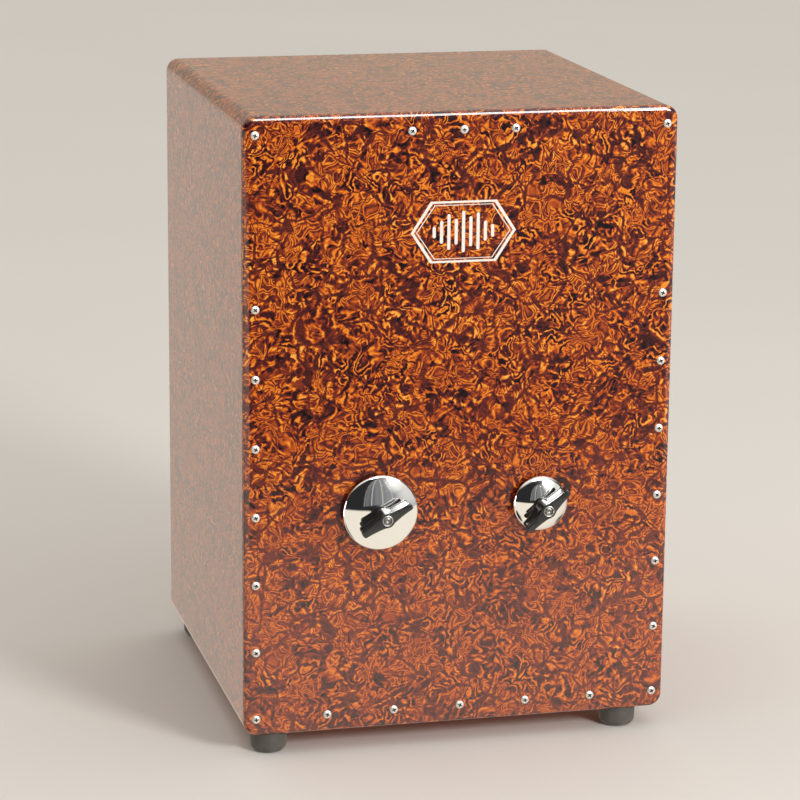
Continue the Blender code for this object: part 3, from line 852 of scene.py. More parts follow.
def make_panel(side):
    half, other = (HZ, HX) if side in ("top", "bottom") else (HX, HZ)
    rows = [(Y_SHELL + d, inset, 0.0) for d, inset in edge_round(EDGE_R, 10)]
    rows.append((Y_SHELL + EDGE_R + 0.5, 0.0, 0.0))
    rebate_y = Y_BACK - REBATE_D
    rows.append((rebate_y, 0.0, 0.0))
    step = len(rows) - 1
    rows.append((rebate_y, 0.0, REBATE_W))
    rows.append((Y_BACK - EDGE_R - 0.5, 0.0, REBATE_W))
    rows += [
        (Y_BACK - d, inset, REBATE_W) for d, inset in reversed(edge_round(EDGE_R, 10))
    ]
    sections = [(y, panel_section(half, other, i, r)) for y, i, r in rows]
    sign = 1 if side in ("top", "right") else -1
    if side in ("top", "bottom"):
        rings = [[(sign * a, y, ZC + sign * b) for a, b in s] for y, s in sections]
    else:
        rings = [[(sign * b, y, ZC - sign * a) for a, b in s] for y, s in sections]
    count = len(rings[0])

    def look(ring, point):
        if point < 0:
            return 0
        return 1 if point >= count - 3 or ring == step else 0

    mesh = loft(f"{side}_panel", rings, "caps", 32.0, look)
    tool = bmesh.new()
    for _, x, z in screw_places():
        if abs(x) > HX - PANEL_T:
            at = "left" if x < 0 else "right"
        else:
            at = "top" if z > HZ else "bottom"
        if at == side:
            drill(tool, (x, Y_SHELL + SCREW_LEN / 2 - 2.0, Z0 + z), 1.62, SCREW_LEN, "Y", 20)
    if side == "bottom":
        for x in FOOT_X.values():
            for y in (Y_FACE + FOOT_IN, Y_BACK - FOOT_IN):
                drill(tool, (x, y, Z0 + 6.5), 2.12, 14.5, "Z", 20)
    inner = M["ply_x"] if side in ("top", "bottom") else M["ply_z"]
    mesh = carve(mesh, tool, [M["shell"], inner])
    piece(f"{side}_panel_shell", mesh, None, f"{side}_panel")


def rounded_outline(hx, hz, radius, steps):
    pts = []
    for sx, sz, start in ((1, 1, 0), (-1, 1, 90), (-1, -1, 180), (1, -1, 270)):
        pts += arc(sx * (hx - radius), sz * (hz - radius), radius, start, start + 90, steps)
    return pts


def make_front_plate():
    rings = []

    def ring(d, inset):
        outline = rounded_outline(HX - inset, HZ - inset, CORNER_R - inset, 18)
        rings.append([(x, Y_FACE + d, ZC + z) for x, z in outline])

    ring(0.0, PLATE_EDGE_IN + 0.5)
    for d, inset in edge_round(1.0, 14):
        ring(d * PLATE_EDGE_DEEP, inset * PLATE_EDGE_IN)
    ring(PLATE_T - 0.35, 0.0)
    ring(PLATE_T - 0.1, 0.12)
    ring(PLATE_T, 0.4)
    last = len(rings)
    mesh = loft("front_plate", rings, "caps", 32.0, lambda r, i: 1 if r == last else 0)
    tool = bmesh.new()
    y = Y_FACE + PLATE_T / 2
    for _, x, z in screw_places():
        drill(tool, (x, y, Z0 + z), 1.62, 3 * PLATE_T, "Y", 20)
    for x in STATION_X.values():
        drill(tool, (x, y, Z0 + STATION_Z), 3.15, 3 * PLATE_T, "Y", 48)
    mesh = carve(mesh, tool, [M["front"], M["ply_z"]])
    piece("front_plate_lacquered", mesh, None, "front_plate")


def make_back_panel():
    """A board with the sound hole, skinned ring by ring round the hole."""
    hx = HX - PANEL_T + REBATE_W - BACK_FIT
    hz = HZ - PANEL_T + REBATE_W - BACK_FIT
    y0 = Y_BACK - REBATE_D + 0.05
    y1 = y0 + BACK_T
    cz = Z0 + HOLE_Z
    top, bottom = ZC + hz - cz, ZC - hz - cz
    angles = {2 * math.pi * k / 120 for k in range(120)}
    angles |= {math.atan2(z, x) % (2 * math.pi) for x in (-hx, hx) for z in (top, bottom)}
    angles = sorted(angles)

    def rim(inset):
        pts = []
        for a in angles:
            c, s = math.cos(a), math.sin(a)
            reach = min(
                (hx - inset) / abs(c) if abs(c) > 1e-9 else 1e9,
                ((top if s > 0 else -bottom) - inset) / abs(s) if abs(s) > 1e-9 else 1e9,
            )
            pts.append((reach * c, reach * s))
        return pts

    def hole(radius):
        return [(radius * math.cos(a), radius * math.sin(a)) for a in angles]

    rows, looks = [], []

    def row(y, pts, look):
        rows.append([(x, y, cz + z) for x, z in pts])
        looks.append(look)

    ease = 1.6
    for k in range(9):
        t = math.pi / 2 * k / 8
        row(y0 + ease * (1 - math.sin(t)), hole(HOLE_R + ease * (1 - math.cos(t))), 1 if k == 8 else 2)
    row(y0, hole(HOLE_R + ease + 0.6), 1)
    row(y0, rim(0.9), 1)
    row(y0, rim(0.4), 2)
    row(y0 + 0.12, rim(0.1), 2)
    row(y0 + 0.5, rim(0.0), 2)
    row(y1 - 0.5, rim(0.0), 0)
    row(y1 - 0.12, rim(0.1), 0)
    row(y1, rim(0.4), 0)
    row(y1, rim(0.9), 0)
    row(y1, hole(HOLE_R + ease + 0.6), 0)
    for k in range(9):
        t = math.pi / 2 * k / 8
        row(y1 - ease * (1 - math.cos(t)), hole(HOLE_R + ease * (1 - math.sin(t))), 0 if k < 8 else 2)
    mesh = loft("back_panel", rows, "loop", 32.0, lambda r, i: looks[r])
    piece(
        "back_panel_finished",
        mesh,
        [M["back"], M["ply_z"], M["ply_edge"]],
        "back_panel",
    )


# ----------------------------------------------------------------- fasteners


def cross_recess(width, long, depth, top):
    """A cross-shaped well that tapers to its foot."""
    tool = bmesh.new()
    rows = []
    for h, share in ((top + 0.3, 1.15), (top - depth * 0.55, 0.8), (top - depth, 0.42)):
        a, b = long / 2 * share, width / 2 * (0.6 + 0.4 * share)
        quarter = [(a, -b), (a, b), (b, b)]
        points = []
        for c, s in ((1, 0), (0, 1), (-1, 0), (0, -1)):
            points += [(x * c - y * s, x * s + y * c, h) for x, y in quarter]
        rows.append(points)
    skin(tool, rows, "caps", lambda r, i: 1)
    return tool


def screw_mesh(name, head_r, head_h, skirt, core, major, pitch, length, recess, steps=32):
    """Pan head cross-recess screw, local Z outwards, zero at its seat."""
    rows = [ring_at(0.05, -length, steps), ring_at(core * 0.55, -length + 1.6, steps)]
    rows += helix_rows(-length + 2.2, -1.2, core, major, pitch, 6, steps)
    rows.append(ring_at(core, -0.6, steps))
    rows.append(ring_at(core + 0.05, 0.0, steps))
    rows.append(ring_at(head_r - 0.25, 0.0, steps))
    rows.append(ring_at(head_r - 0.06, 0.08, steps))
    for k in range(9):
        t = math.pi / 2 * k / 9
        rows.append(ring_at(head_r * math.cos(t) ** 0.85, skirt + (head_h - skirt) * math.sin(t), steps))
    rows.append(ring_at(head_r * 0.08, head_h, steps))
    mesh = loft(name, rows, "caps", 40.0)
    return carve(mesh, cross_recess(*recess, head_h), [M["screw"], M["recess"]], 40.0)


def make_plate_screws():
    mesh = screw_mesh("plate_screw", 3.0, 1.5, 0.3, 1.05, 1.5, 1.25, SCREW_LEN, (0.95, 3.1, 1.0))
    turn = Matrix.Rotation(math.pi / 2, 4, "X")
    for index, (node, x, z) in enumerate(screw_places()):
        roll = Matrix.Rotation(math.radians(index * 37.0 % 90.0), 4, "Z")
        place = Matrix.Translation(Vector((x, Y_FACE - 0.02, Z0 + z)) * MM)
        piece(node + "_cross", mesh, None, node, place @ turn @ roll)


def make_feet():
    low, edge = 12.8, 5.0
    outer = [
        (
            low - edge + edge * math.sin(math.pi / 2 * k / 14),
            edge - edge * math.cos(math.pi / 2 * k / 14),
        )
        for k in range(15)
    ]
    top = FOOT_H - 0.05
    profile = [(4.8, 1.0), (5.05, 0.25), (5.6, 0.0)] + outer
    profile += [(12.9, 6.2), (13.0, 8.0), (13.25, 12.6), (13.4, 13.2), (13.4, top - 0.5), (13.25, top - 0.12), (12.9, top)]
    profile += [(2.9, top), (2.4, top - 0.5), (2.4, 8.3), (2.7, 8.0), (4.8, 8.0)]
    foot = turned("foot", profile, 96, 40.0)
    screw = screw_mesh("foot_screw", 4.0, 2.3, 0.5, 1.4, 2.0, 1.6, 20.0, (0.95, 4.2, 1.5))
    down = Matrix.Rotation(math.pi, 4, "X")
    for side, x in FOOT_X.items():
        for end, y in (("front", Y_FACE + FOOT_IN), ("rear", Y_BACK - FOOT_IN)):
            place = Matrix.Translation(Vector((x, y, 0)) * MM)
            node = f"foot_{end}_{side}"
            piece(node + "_rubber", foot, [M["rubber"]], node, place)
            node = f"foot_screw_{end}_{side}"
            seat = Matrix.Translation(Vector((x, y, 7.95)) * MM)
            piece(node + "_cross", screw, None, node, seat @ down)


# ------------------------------------------------------------- the stations


def jingle_mesh(name, radius, rim, curl, dome, hub):
    """A stamped disc domed to a sphere, its rolled rim curled back."""
    bore, thick = JINGLE_BORE - 0.25, 0.8
    turn = radius - rim
    slope = turn / dome

    def fall(r):
        return (r * r - JINGLE_BORE**2) / (2 * dome)

    face = [(bore, fall(bore) + 0.12)]
    for k in range(41):
        r = bore + 0.12 + (turn - bore - 0.12) * k / 40
        face.append((r, fall(r)))
    for k in range(1, 17):
        u = math.sin(math.pi / 2 * k / 16)
        face.append((turn + rim * u, fall(turn) + slope * rim * u + curl * (1 - math.sqrt(max(0.0, 1 - u * u)))))
    deep = face[-1][1] + 0.3
    face += [(radius, deep - 0.12), (radius - 0.12, deep)]
    back = [(radius - thick + 0.12, deep), (radius - thick, deep - 0.15)]
    start = turn - 0.4
    knee = (radius - thick + 0.02, fall(start) + thick + 0.05)
    first, last = (radius - thick, deep - 0.3), (start, fall(start) + thick)
    for k in range(9):
        t = k / 8
        back.append(
            tuple(
                first[i] * (1 - t) ** 2 + knee[i] * 2 * t * (1 - t) + last[i] * t * t
                for i in (0, 1)
            )
        )
    for k in range(1, 25):
        r = start + (bore + 0.12 - start) * k / 24
        back.append((r, fall(r) + thick))
    back.append((bore, fall(bore) + thick - 0.12))
    return turned(name, [(r, hub - h) for r, h in face + back], 160, 32.0)


def smooth_max(a, b, k):
    h = max(k - abs(a - b), 0.0) / k
    return max(a, b) + h * h * k / 4


def wing_outline(span, tip, root, boss, inset):
    """The wing nut's section at one height: two blades that narrow from the
    boss in a hollow curve to rounded tips."""
    s = span - inset
    wt = max(0.5, tip - inset)
    rc = min(1.7, wt * 0.85)

    def half_width(u):
        flank = wt + (root - inset - wt) * max(0.0, (s - rc - u) / (s - rc)) ** 1.75
        round_part = math.sqrt(max(0.0, boss * boss - u * u))
        return smooth_max(flank, round_part, 1.4)

    q = [(s, 0.0)]
    for k in range(8):
        a = math.pi / 2 * k / 8
        q.append((s - rc + rc * math.cos(a), wt - rc + rc * math.sin(a)))
    for k in range(25):
        u = (s - rc) * (1 - k / 24)
        q.append((u, half_width(u)))
    return (
        q
        + [(-x, y) for x, y in reversed(q[:-1])]
        + [(-x, -y) for x, y in q[1:]]
        + [(x, -y) for x, y in reversed(q[1:-1])]
    )


def wing_nut_mesh(name):
    """Local Z outwards, local X along the wings, zero on the plate's face."""
    levels = [
        # height, inset of the blade, radius of the boss
        (26.90, 0.62, 4.30),
        (26.86, 0.38, 4.52),
        (26.74, 0.18, 4.70),
        (26.55, 0.05, 4.82),
        (26.30, 0.00, 4.86),
        (25.20, 0.00, 4.88),
        (24.96, 0.10, 4.90),
        (24.82, 0.34, 4.90),
        (24.76, 0.90, 4.90),
        (23.30, 0.90, 4.95),
        (23.24, 0.46, 4.95),
        (23.08, 0.18, 4.95),
        (22.80, 0.04, 4.95),
        (22.45, 0.04, 4.98),
        (22.15, 0.18, 5.00),
        (21.98, 0.46, 5.00),
        (21.92, 0.95, 5.00),
        (14.60, 0.95, 5.35),
        (14.54, 0.50, 5.40),
        (14.38, 0.26, 5.40),
        (14.10, 0.16, 5.45),
        (13.20, 0.16, 5.60),
        (12.90, 0.26, 5.65),
        (12.72, 0.50, 5.70),
        (12.65, 0.90, 5.72),
    ]
    rings = []
    for h, inset, boss in levels:
        low = min(1.0, max(0.0, (24.0 - h) / 11.0))
        span = 20.0 - 0.8 * low
        ring = []
        plain = min(inset, 0.12 + 0.03 * (26.0 - h)) if 13.0 < h < 26.0 else inset
        ribbed = wing_outline(span, 2.4, 4.7, boss, inset)
        smooth = wing_outline(span, 2.4, 4.7, boss, plain)
        for (x, y), (u, v) in zip(ribbed, smooth):
            w = min(1.0, max(0.0, 0.5 - math.copysign(1.0, x) * y / 2.4))
            out = max(0.0, (abs(x) - 6.0) / 14.0)
            ring.append((u + (x - u) * w, v + (y - v) * w, h + 0.5 * low * out))
        rings.append(ring)
    guide = rings[3]

    def round_ring(radius, h):
        made = []
        for x, y, _ in guide:
            d = math.hypot(x, y)
            made.append((radius * x / d, radius * y / d, h))
        return made

    inner = [round_ring(r, h) for r, h in ((3.78, 25.9), (3.78, 26.72), (3.86, 26.86), (4.0, 26.90))]
    base = [
        round_ring(r, h)
        for r, h in (
            (5.95, 12.60),
            (6.10, 12.50),
            (6.05, 12.36),
            (5.90, 12.32),
            (5.45, 12.32),
            (5.32, 12.42),
            (5.30, 12.60),
            (5.30, 13.60),
            (5.20, 13.70),
            (3.90, 13.70),
            (3.78, 13.80),
        )
    ]
    return loft(name, inner + rings + base, "loop", 30.0)


def hex_nut_mesh(name, across, start, thick, bore):
    steps = 120
    flat = across / 2

    def hex_r(k):
        a = (2 * math.pi * k / steps) % (math.pi / 3) - math.pi / 6
        return flat / math.cos(a)

    def row(radius_of, height_of):
        return [
            (
                radius_of(k) * math.cos(2 * math.pi * k / steps),
                radius_of(k) * math.sin(2 * math.pi * k / steps),
                height_of(k),
            )
            for k in range(steps)
        ]

    bevel = lambda k: (hex_r(k) - flat * 0.97) * math.tan(math.radians(30))
    end = start + thick
    rows = [
        row(lambda k: bore, lambda k: start + 0.4),
        row(lambda k: bore + 0.4, lambda k: start),
        row(lambda k: flat * 0.97, lambda k: start),
        row(hex_r, lambda k: start + bevel(k)),
        row(hex_r, lambda k: end - bevel(k)),
        row(lambda k: flat * 0.97, lambda k: end),
        row(lambda k: bore + 0.4, lambda k: end),
        row(lambda k: bore, lambda k: end - 0.4),
    ]
    return loft(name, rows, "loop", 25.0)


def felt_mesh(name, bore, radius, start, end, seed):
    """A pressed washer whose surface is never quite flat."""
    steps = 120
    profile = []
    wall = [(bore, start), (radius, start), (radius, end), (bore, end)]
    corners = eased(wall, 0.7, 5)
    for a, b in zip(corners, corners[1:] + corners[:1]):
        length = math.hypot(b[0] - a[0], b[1] - a[1])
        parts = max(1, int(length / 0.35))
        for k in range(parts):
            t = k / parts
            profile.append((a[0] + (b[0] - a[0]) * t, a[1] + (b[1] - a[1]) * t))
    rows = []
    for r, h in profile:
        row = []
        for k in range(steps):
            a = 2 * math.pi * k / steps
            p = Vector((r * math.cos(a), r * math.sin(a), h))
            n = noise.noise(p * 1.3 + Vector((seed, 0, 0))) * 0.09 + noise.noise(p * 4.1) * 0.045
            middle = Vector(((bore + radius) / 2 * math.cos(a), (bore + radius) / 2 * math.sin(a), (start + end) / 2))
            out = (p - middle).normalized()
            row.append(tuple(p + out * (n - 0.08)))
        rows.append(row)
    return loft(name, rows, "loop", 80.0)


def bolt_mesh(name):
    steps = 40
    inside = -PLATE_T - 0.05
    rows = [
        ring_at(0.3, inside - 2.95, steps),
        ring_at(3.6, inside - 2.85, steps),
    ]
    for k in range(1, 9):
        t = math.pi / 2 * k / 8
        rows.append(ring_at(3.6 + 3.3 * math.sin(t), inside - 0.9 - 1.95 * math.cos(t), steps))
    rows += [ring_at(6.9, inside - 0.15, steps), ring_at(6.7, inside, steps), ring_at(2.95, inside, steps), ring_at(2.9, inside + 0.5, steps)]
    rows += helix_rows(0.2, BOLT_END - 1.0, 2.45, 2.98, 1.0, 8, steps, 0.2, 0.6)
    rows.append(ring_at(2.5, BOLT_END - 0.95, steps))
    for r, h in ((2.62, -0.75), (2.55, -0.4), (2.3, -0.1), (2.0, 0.06), (1.6, 0.14), (1.15, 0.16), (1.0, 0.08), (0.5, -0.45), (0.1, -0.7)):
        rows.append(ring_at(r, BOLT_END + h, steps))
    mesh = loft(name, rows, "caps", 38.0)
    tool = cross_recess(1.3, 6.4, 1.7, 0.0)
    bmesh.ops.transform(
        tool,
        matrix=Matrix.Translation((0, 0, (inside - 2.95) * MM)) @ Matrix.Rotation(math.pi, 4, "X"),
        verts=tool.verts,
    )
    return carve(mesh, tool, [M["bolt"]], 38.0)


def make_station(side):
    centre = Vector((STATION_X[side], Y_FACE, Z0 + STATION_Z)) * MM
    outward = Matrix.Translation(centre) @ Matrix.Rotation(math.pi / 2, 4, "X")
    wing = outward @ Matrix.Rotation(math.radians(WING_ANGLE[side]), 4, "Z")

    piece(f"jingle_bolt_{side}_threaded", bolt_mesh(f"bolt_{side}"), None, f"jingle_bolt_{side}", outward)
    piece(
        f"clamp_nut_{side}_chamfered",
        hex_nut_mesh(f"clamp_{side}", 10.0, 0.02, 3.2, 3.02),
        [M["bolt"]],
        f"clamp_nut_{side}",
        outward @ Matrix.Rotation(math.radians(11.0), 4, "Z"),
    )
    piece(
        f"rear_felt_{side}_pressed",
        felt_mesh(f"rear_felt_{side}", 3.3, 7.5, 3.55, 5.85, 1.7),
        [M["felt"]],
        f"rear_felt_{side}",
        outward,
    )
    sleeve = eased([(3.25, 6.1), (6.2, 6.1), (6.2, 7.0), (4.3, 7.0), (4.3, 10.5), (3.25, 10.5)], 0.3, 4)
    piece(f"jingle_sleeve_{side}_moulded", turned(f"sleeve_{side}", sleeve), [M["nylon"]], f"jingle_sleeve_{side}", outward)

    outer = JINGLE_R[side]
    shape = (JINGLE_RIM[side], JINGLE_CURL[side], JINGLE_DOME[side])
    rear = jingle_mesh(f"rear_jingle_{side}", outer - 0.8, *shape, REAR_HUB)
    piece(f"rear_jingle_{side}_polished", rear, [M["jingle"]], f"rear_jingle_{side}", outward)
    front = jingle_mesh(f"front_jingle_{side}", outer, *shape, FRONT_HUB)
    piece(f"front_jingle_{side}_polished", front, [M["jingle"]], f"front_jingle_{side}", outward)
    piece(
        f"front_felt_{side}_pressed",
        felt_mesh(f"front_felt_{side}", 3.3, 5.05, 12.05, 13.45, 5.3),
        [M["felt"]],
        f"front_felt_{side}",
        outward,
    )
    piece(f"wing_nut_{side}_moulded", wing_nut_mesh(f"wing_nut_{side}"), [M["wing"]], f"wing_nut_{side}", wing)
    insert = [(3.06, 13.9), (3.3, 13.75), (3.6, 13.75), (3.74, 13.9)]
    insert += [(3.74, 26.78), (3.68, 26.9), (3.56, 26.95), (3.36, 26.9), (3.12, 26.6), (3.06, 26.3)]
    piece(f"wing_insert_{side}_turned", turned(f"insert_{side}", insert), [M["insert"]], f"wing_insert_{side}", wing)


# --------------------------------------------------------------- the snares


def wire_coil(bm, x, y, top, bottom, radius, wire, pitch):
    """A coiled snare wire hanging from top to bottom."""
    turns = (top - bottom) / pitch
    per_turn, sides = 8, 5
    count = int(turns * per_turn)
    rows = []
    for i in range(count + 1):
        a = 2 * math.pi * i / per_turn
        z = top - (top - bottom) * i / count
        centre = Vector((x + radius * math.cos(a), y + radius * math.sin(a), z))
        out = Vector((math.cos(a), math.sin(a), 0))
        up = Vector((0, 0, 1))
        rows.append(
            [
                tuple(centre + (out * math.cos(b) + up * math.sin(b)) * wire)
                for b in (2 * math.pi * k / sides for k in range(sides))
            ]
        )
    skin(bm, rows, "caps")


def make_snares():
    reach = HX - PANEL_T - 0.1
    wires_y = Y_FACE + PLATE_T + 0.5
    bar_y = wires_y + 1.2 + GAP
    z = Z0 + SNARE_BAR_Z
    outline = eased(
        [
            (bar_y, z),
            (bar_y + SNARE_BAR_D, z),
            (bar_y + SNARE_BAR_D, z + SNARE_BAR_H),
            (bar_y, z + SNARE_BAR_H),
        ],
        1.6,
        6,
    )
    rings = [[(x, y, h) for y, h in outline] for x in (-reach, -reach + 0.5, reach - 0.5, reach)]
    piece("snare_bar_planed", loft("snare_bar", rings), [M["ply_x"]], "snare_bar")
    for side, middle in SNARE_X.items():
        bm = bmesh.new()
        half = SNARE_PITCH * (SNARE_TEETH - 1) / 2 + 2.3
        plate = rounded_outline(half, 6.0, 1.8, 6)
        rows = []
        for y, inset in ((wires_y + 0.4, 0.2), (wires_y + 0.5, 0.0), (wires_y + 1.1, 0.0), (wires_y + 1.2, 0.2)):
            share_x, share_z = (half - inset) / half, (6.0 - inset) / 6.0
            rows.append([(middle + x * share_x, y, z + 9.0 + h * share_z) for x, h in plate])
        skin(bm, rows, "caps")
        for k in range(SNARE_TEETH):
            x = middle + SNARE_PITCH * (k - (SNARE_TEETH - 1) / 2)
            wire_coil(bm, x, wires_y + 0.55, z + 7.0, z - SNARE_LEN + 0.3, 0.38, 0.17, 1.5)
        mesh = finish_mesh(f"snare_wires_{side}", bm, 50.0)
        piece(f"snare_wires_{side}_coiled", mesh, [M["wire"]], f"snare_wires_{side}")


# ------------------------------------------------------------- printed mark


def make_mark():
    """A plain maker's panel: a long hexagon frame round a row of bars."""
    cx, cz = 0.4, Z0 + 355.8
    y0, y1 = Y_FACE - 0.01, Y_FACE - 0.05
    bm = bmesh.new()

    def hexagon(w, h, nose):
        return [(-w, 0), (-w + nose, -h), (w - nose, -h), (w, 0), (w - nose, h), (-w + nose, h)]

    def band(outer, inner):
        rows = []
        for pts, y in ((outer, y0), (outer, y1), (inner, y1), (inner, y0)):
            rows.append([(cx + x, y, cz + z) for x, z in pts])
        skin(bm, rows, "loop")

    band(hexagon(37.5, 21.5, 14.0), hexagon(35.2, 20.0, 13.3))
    band(hexagon(33.6, 18.9, 12.9), hexagon(32.9, 18.4, 12.7))
    heights = (4.0, 8.0, 12.5, 9.0, 14.5, 10.5, 13.0, 7.0, 4.5)
    for k, h in enumerate(heights):
        x = (k - (len(heights) - 1) / 2) * 5.2
        bar = rounded_outline(1.15, h, 1.1, 5)
        rows = [[(cx + x + u, y, cz + v) for u, v in bar] for y in (y0, y1)]
        skin(bm, rows, "caps")
    mesh = finish_mesh("front_mark", bm, 30.0)
    mesh.materials.append(M["ink"])
    obj = bpy.data.objects.new("front_mark", mesh)
    bpy.context.scene.collection.objects.link(obj)
    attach(obj, "box")


# ------------------------------------------------------------ studio, camera


def make_floor():
    bm = bmesh.new()
    corners = [(-9, -7), (9, -7), (9, 16), (-9, 16)]
    bm.faces.new([bm.verts.new((x, y, 0)) for x, y in corners])
    mesh = bpy.data.meshes.new("floor")
    bm.to_mesh(mesh)
    bm.free()
    mat, nt = new_material("floor_paper")
    p = nt.place()
    tone = nt.noise(p, 1.1, 3.0, 0.5)
    fine = nt.noise(p, 420, 2.0, 0.5)
    col = nt.mix(tone, srgb(226, 222, 216), srgb(234, 231, 226))
    nt.principled(Base_Color=col, Roughness=0.85, Specular_IOR_Level=0.2, Normal=nt.bump(fine, 0.00005, 0.3))
    mesh.materials.append(mat)
    floor = bpy.data.objects.new("floor", mesh)
    bpy.context.scene.collection.objects.link(floor)
    floor.visible_glossy = False


def make_world():
    """A studio as a direction field: pale cloth behind, white overhead, a
    sweep that ends a little way in front, and beyond it a dim room with an
    umbrella and the glow of a big lamp."""
    world = bpy.data.worlds.new("studio")
    bpy.context.scene.world = world
    nt = Nodes(world)
    d = nt.n("ShaderNodeTexCoord").outputs["Generated"]
    x, y, z = nt.xyz(d)

    def toward(az, el):
        a, e = math.radians(az), math.radians(el)
        return (math.sin(a) * math.cos(e), -math.cos(a) * math.cos(e), math.sin(e))

    def near(az, el, inner, outer):
        """1 within inner degrees of a direction, 0 beyond outer."""
        along = nt.vmath("DOT_PRODUCT", d, toward(az, el))
        cos = [math.cos(math.radians(v)) for v in (outer, inner)]
        return nt.remap(along, cos[0], cos[1], smooth=True)

    # the dim room, pale to the right of the middle and dark at both sides
    aside = nt.math("DIVIDE", x, nt.math("MAXIMUM", nt.math("MULTIPLY", y, -1.0), 0.001))
    pale = nt.math(
        "MULTIPLY",
        nt.remap(aside, 0.05, 0.75, smooth=True),
        nt.remap(aside, 1.3, 1.75, 1.0, 0.0, True),
    )
    room = nt.mix(pale, (0.026, 0.026, 0.028), (0.46, 0.47, 0.48))

    # umbrella: a dome whose ribs run down from the crown and bend outwards
    crown = Vector(toward(11.0, 23.0))
    side = Vector((0, 0, 1)).cross(crown).normalized()
    down = side.cross(crown).normalized()
    u = nt.vmath("DOT_PRODUCT", d, tuple(side))
    v = nt.math("DIVIDE", nt.vmath("DOT_PRODUCT", d, tuple(down)), 0.46)
    rest = nt.math("SUBTRACT", 1.0, nt.math("MINIMUM", nt.math("MAXIMUM", v, 0.0), 1.0))
    wide = nt.math("SQRT", nt.math("SUBTRACT", 1.0, nt.math("MULTIPLY", rest, rest)))
    wide = nt.math("MULTIPLY", nt.math("MAXIMUM", wide, 0.02), 0.33)
    turn = nt.math("DIVIDE", u, wide)
    inside = nt.remap(nt.math("ABSOLUTE", turn), 0.96, 1.02, 1.0, 0.0, True)
    inside = nt.math("MULTIPLY", inside, nt.remap(v, 0.0, 0.03, smooth=True))
    inside = nt.math("MULTIPLY", inside, nt.remap(v, 0.97, 1.03, 1.0, 0.0, True))
    front = nt.remap(y, -0.6, -0.4, 1.0, 0.0, True)
    inside = nt.math("MULTIPLY", inside, front)
    turn = nt.math("ARCSINE", nt.math("MINIMUM", nt.math("MAXIMUM", turn, -1.0), 1.0))
    step = math.radians(41.0)
    frac = nt.math("FRACT", nt.math("ADD", nt.math("DIVIDE", turn, step), 0.30))
    off = nt.math("ABSOLUTE", nt.math("SUBTRACT", frac, 0.5))
    rib = nt.math("MULTIPLY", nt.math("MULTIPLY", off, step), wide)
    rib = nt.remap(rib, 0.006, 0.018, 1.0, 0.0, True)
    fold = nt.remap(off, 0.0, 0.5, 0.10, 0.22, True)
    cloth = nt.mix(nt.remap(u, -0.25, 0.30), nt.mix(fold, (0.0, 0.0, 0.0), (0.8, 0.85, 0.92)), (0.33, 0.34, 0.35))
    cloth = nt.mix(rib, cloth, (0.60, 0.57, 0.53))
    room = nt.mix(inside, room, cloth)
    glow = nt.math("MAXIMUM", near(33, 21, 7, 17), nt.math("MULTIPLY", near(47, 8, 4, 20), 0.6))
    room = nt.mix(nt.math("MULTIPLY", glow, 0.95), room, (1.05, 1.03, 1.0))

    behind = nt.remap(y, -0.25, 0.35, smooth=True)
    over = nt.remap(z, 0.42, 0.80, smooth=True)
    sky = nt.mix(behind, room, (0.575, 0.515, 0.41))
    sky = nt.mix(over, sky, (0.98, 0.96, 0.93))

    # the sweep ends further away towards the left
    slope = nt.math("DIVIDE", y, nt.math("MINIMUM", z, -0.001))
    edge = nt.remap(x, -0.05, 0.14, 5.4, 3.4, True)
    far = nt.remap(nt.math("DIVIDE", slope, edge), 0.86, 1.12, smooth=True)
    ahead = nt.remap(y, -0.55, -0.25, 1.0, 0.0, True)
    near_floor = nt.mix(ahead, (0.77, 0.69, 0.59), (0.98, 0.90, 0.78))
    sweep = nt.mix(far, near_floor, nt.mix(ahead, near_floor, room))
    gaps = nt.math("MAXIMUM", near(-43, -41, 11, 17), near(72, -41, 6, 11.5))
    sweep = nt.mix(gaps, sweep, (0.02, 0.02, 0.02))
    below = nt.remap(z, -0.012, 0.0, 1.0, 0.0, True)
    colour = nt.mix(below, sky, sweep)
    seen = nt.n("ShaderNodeLightPath").outputs["Is Camera Ray"]
    colour = nt.mix(seen, colour, (0.80, 0.79, 0.77))
    back = nt.n("ShaderNodeBackground", {"Color": colour, "Strength": 1.0})
    nt.n("ShaderNodeOutputWorld", {"Surface": back})


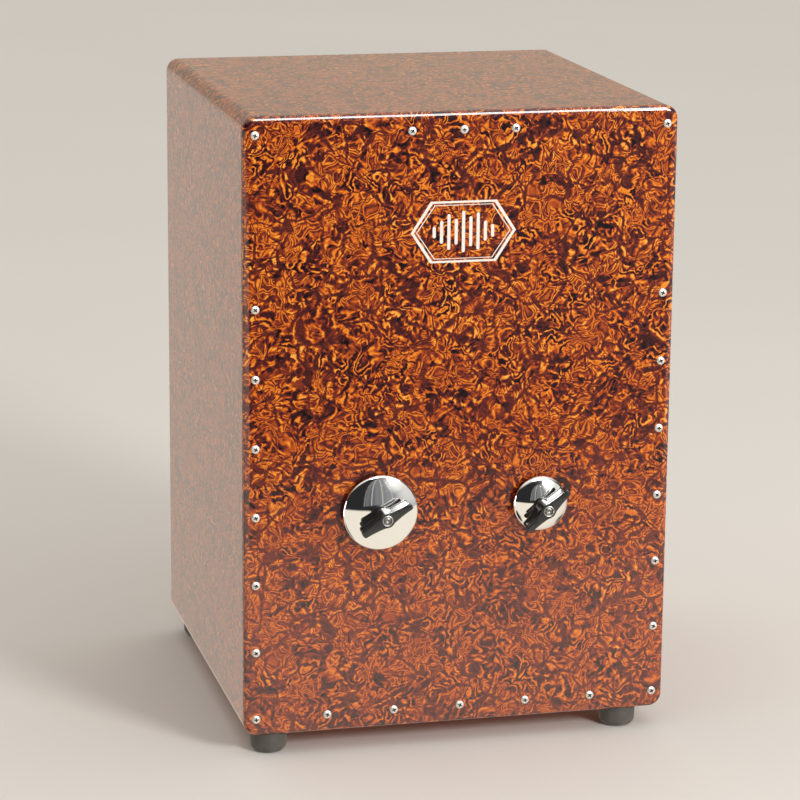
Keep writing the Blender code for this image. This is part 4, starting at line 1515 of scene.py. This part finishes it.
def area_light(name, place, target, size, power, colour=(1.0, 1.0, 1.0), diffuse=True):
    data = bpy.data.lights.new(name, "AREA")
    data.shape = "ELLIPSE"
    data.size, data.size_y = size
    data.energy = power
    data.color = colour
    obj = bpy.data.objects.new(name, data)
    bpy.context.scene.collection.objects.link(obj)
    obj.location = place
    look = Vector(target) - Vector(place)
    obj.rotation_euler = look.to_track_quat("-Z", "Y").to_euler()
    obj.visible_diffuse = diffuse
    return obj


def make_lights():
    area_light("key", (1.5, -2.7, 1.5), (0, 0, 0.2), (0.95, 0.85), 60.0, (1.0, 0.985, 0.965))
    # two that only show as reflections, along the rounded edges
    area_light("overhead", (0.47, -1.68, 1.95), (0, -0.14, 0.45), (1.6, 1.2), 56.0, diffuse=False)
    area_light("left_card", (-1.1, -0.42, 0.12), (-0.15, -0.13, 0.2), (0.5, 0.6), 4.0, diffuse=False)


def make_camera():
    data = bpy.data.cameras.new("camera")
    data.lens = 141.49
    data.sensor_width = 36.0
    data.clip_start, data.clip_end = 0.05, 60.0
    cam = bpy.data.objects.new("camera", data)
    bpy.context.scene.collection.objects.link(cam)
    right, up, back = (
        (0.97081, -0.2397, 0.00855),
        (0.04922, 0.23395, 0.971),
        (-0.23475, -0.94224, 0.23892),
    )
    place = (-0.55549, -2.19272, 0.77562)
    rows = [(right[i], up[i], back[i], place[i]) for i in range(3)]
    cam.matrix_world = Matrix((*rows, (0, 0, 0, 1)))
    bpy.context.scene.camera = cam


make_camera()
make_world()
make_lights()
make_floor()
for side_name in ("top", "bottom", "left", "right"):
    make_panel(side_name)
make_front_plate()
make_back_panel()
make_plate_screws()
make_feet()
for side_name in ("left", "right"):
    make_station(side_name)
make_snares()
make_mark()

bpy.context.scene.view_settings.view_transform = "Standard"

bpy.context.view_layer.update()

# the left card is there for the polished stations, so only they mirror it
stations = bpy.data.collections.new("stations")
for obj in bpy.data.objects:
    if obj.type == "MESH" and any(w in obj.name for w in ("jingle", "wing_", "clamp_nut", "felt")):
        stations.objects.link(obj)
bpy.data.objects["left_card"].light_linking.receiver_collection = stations
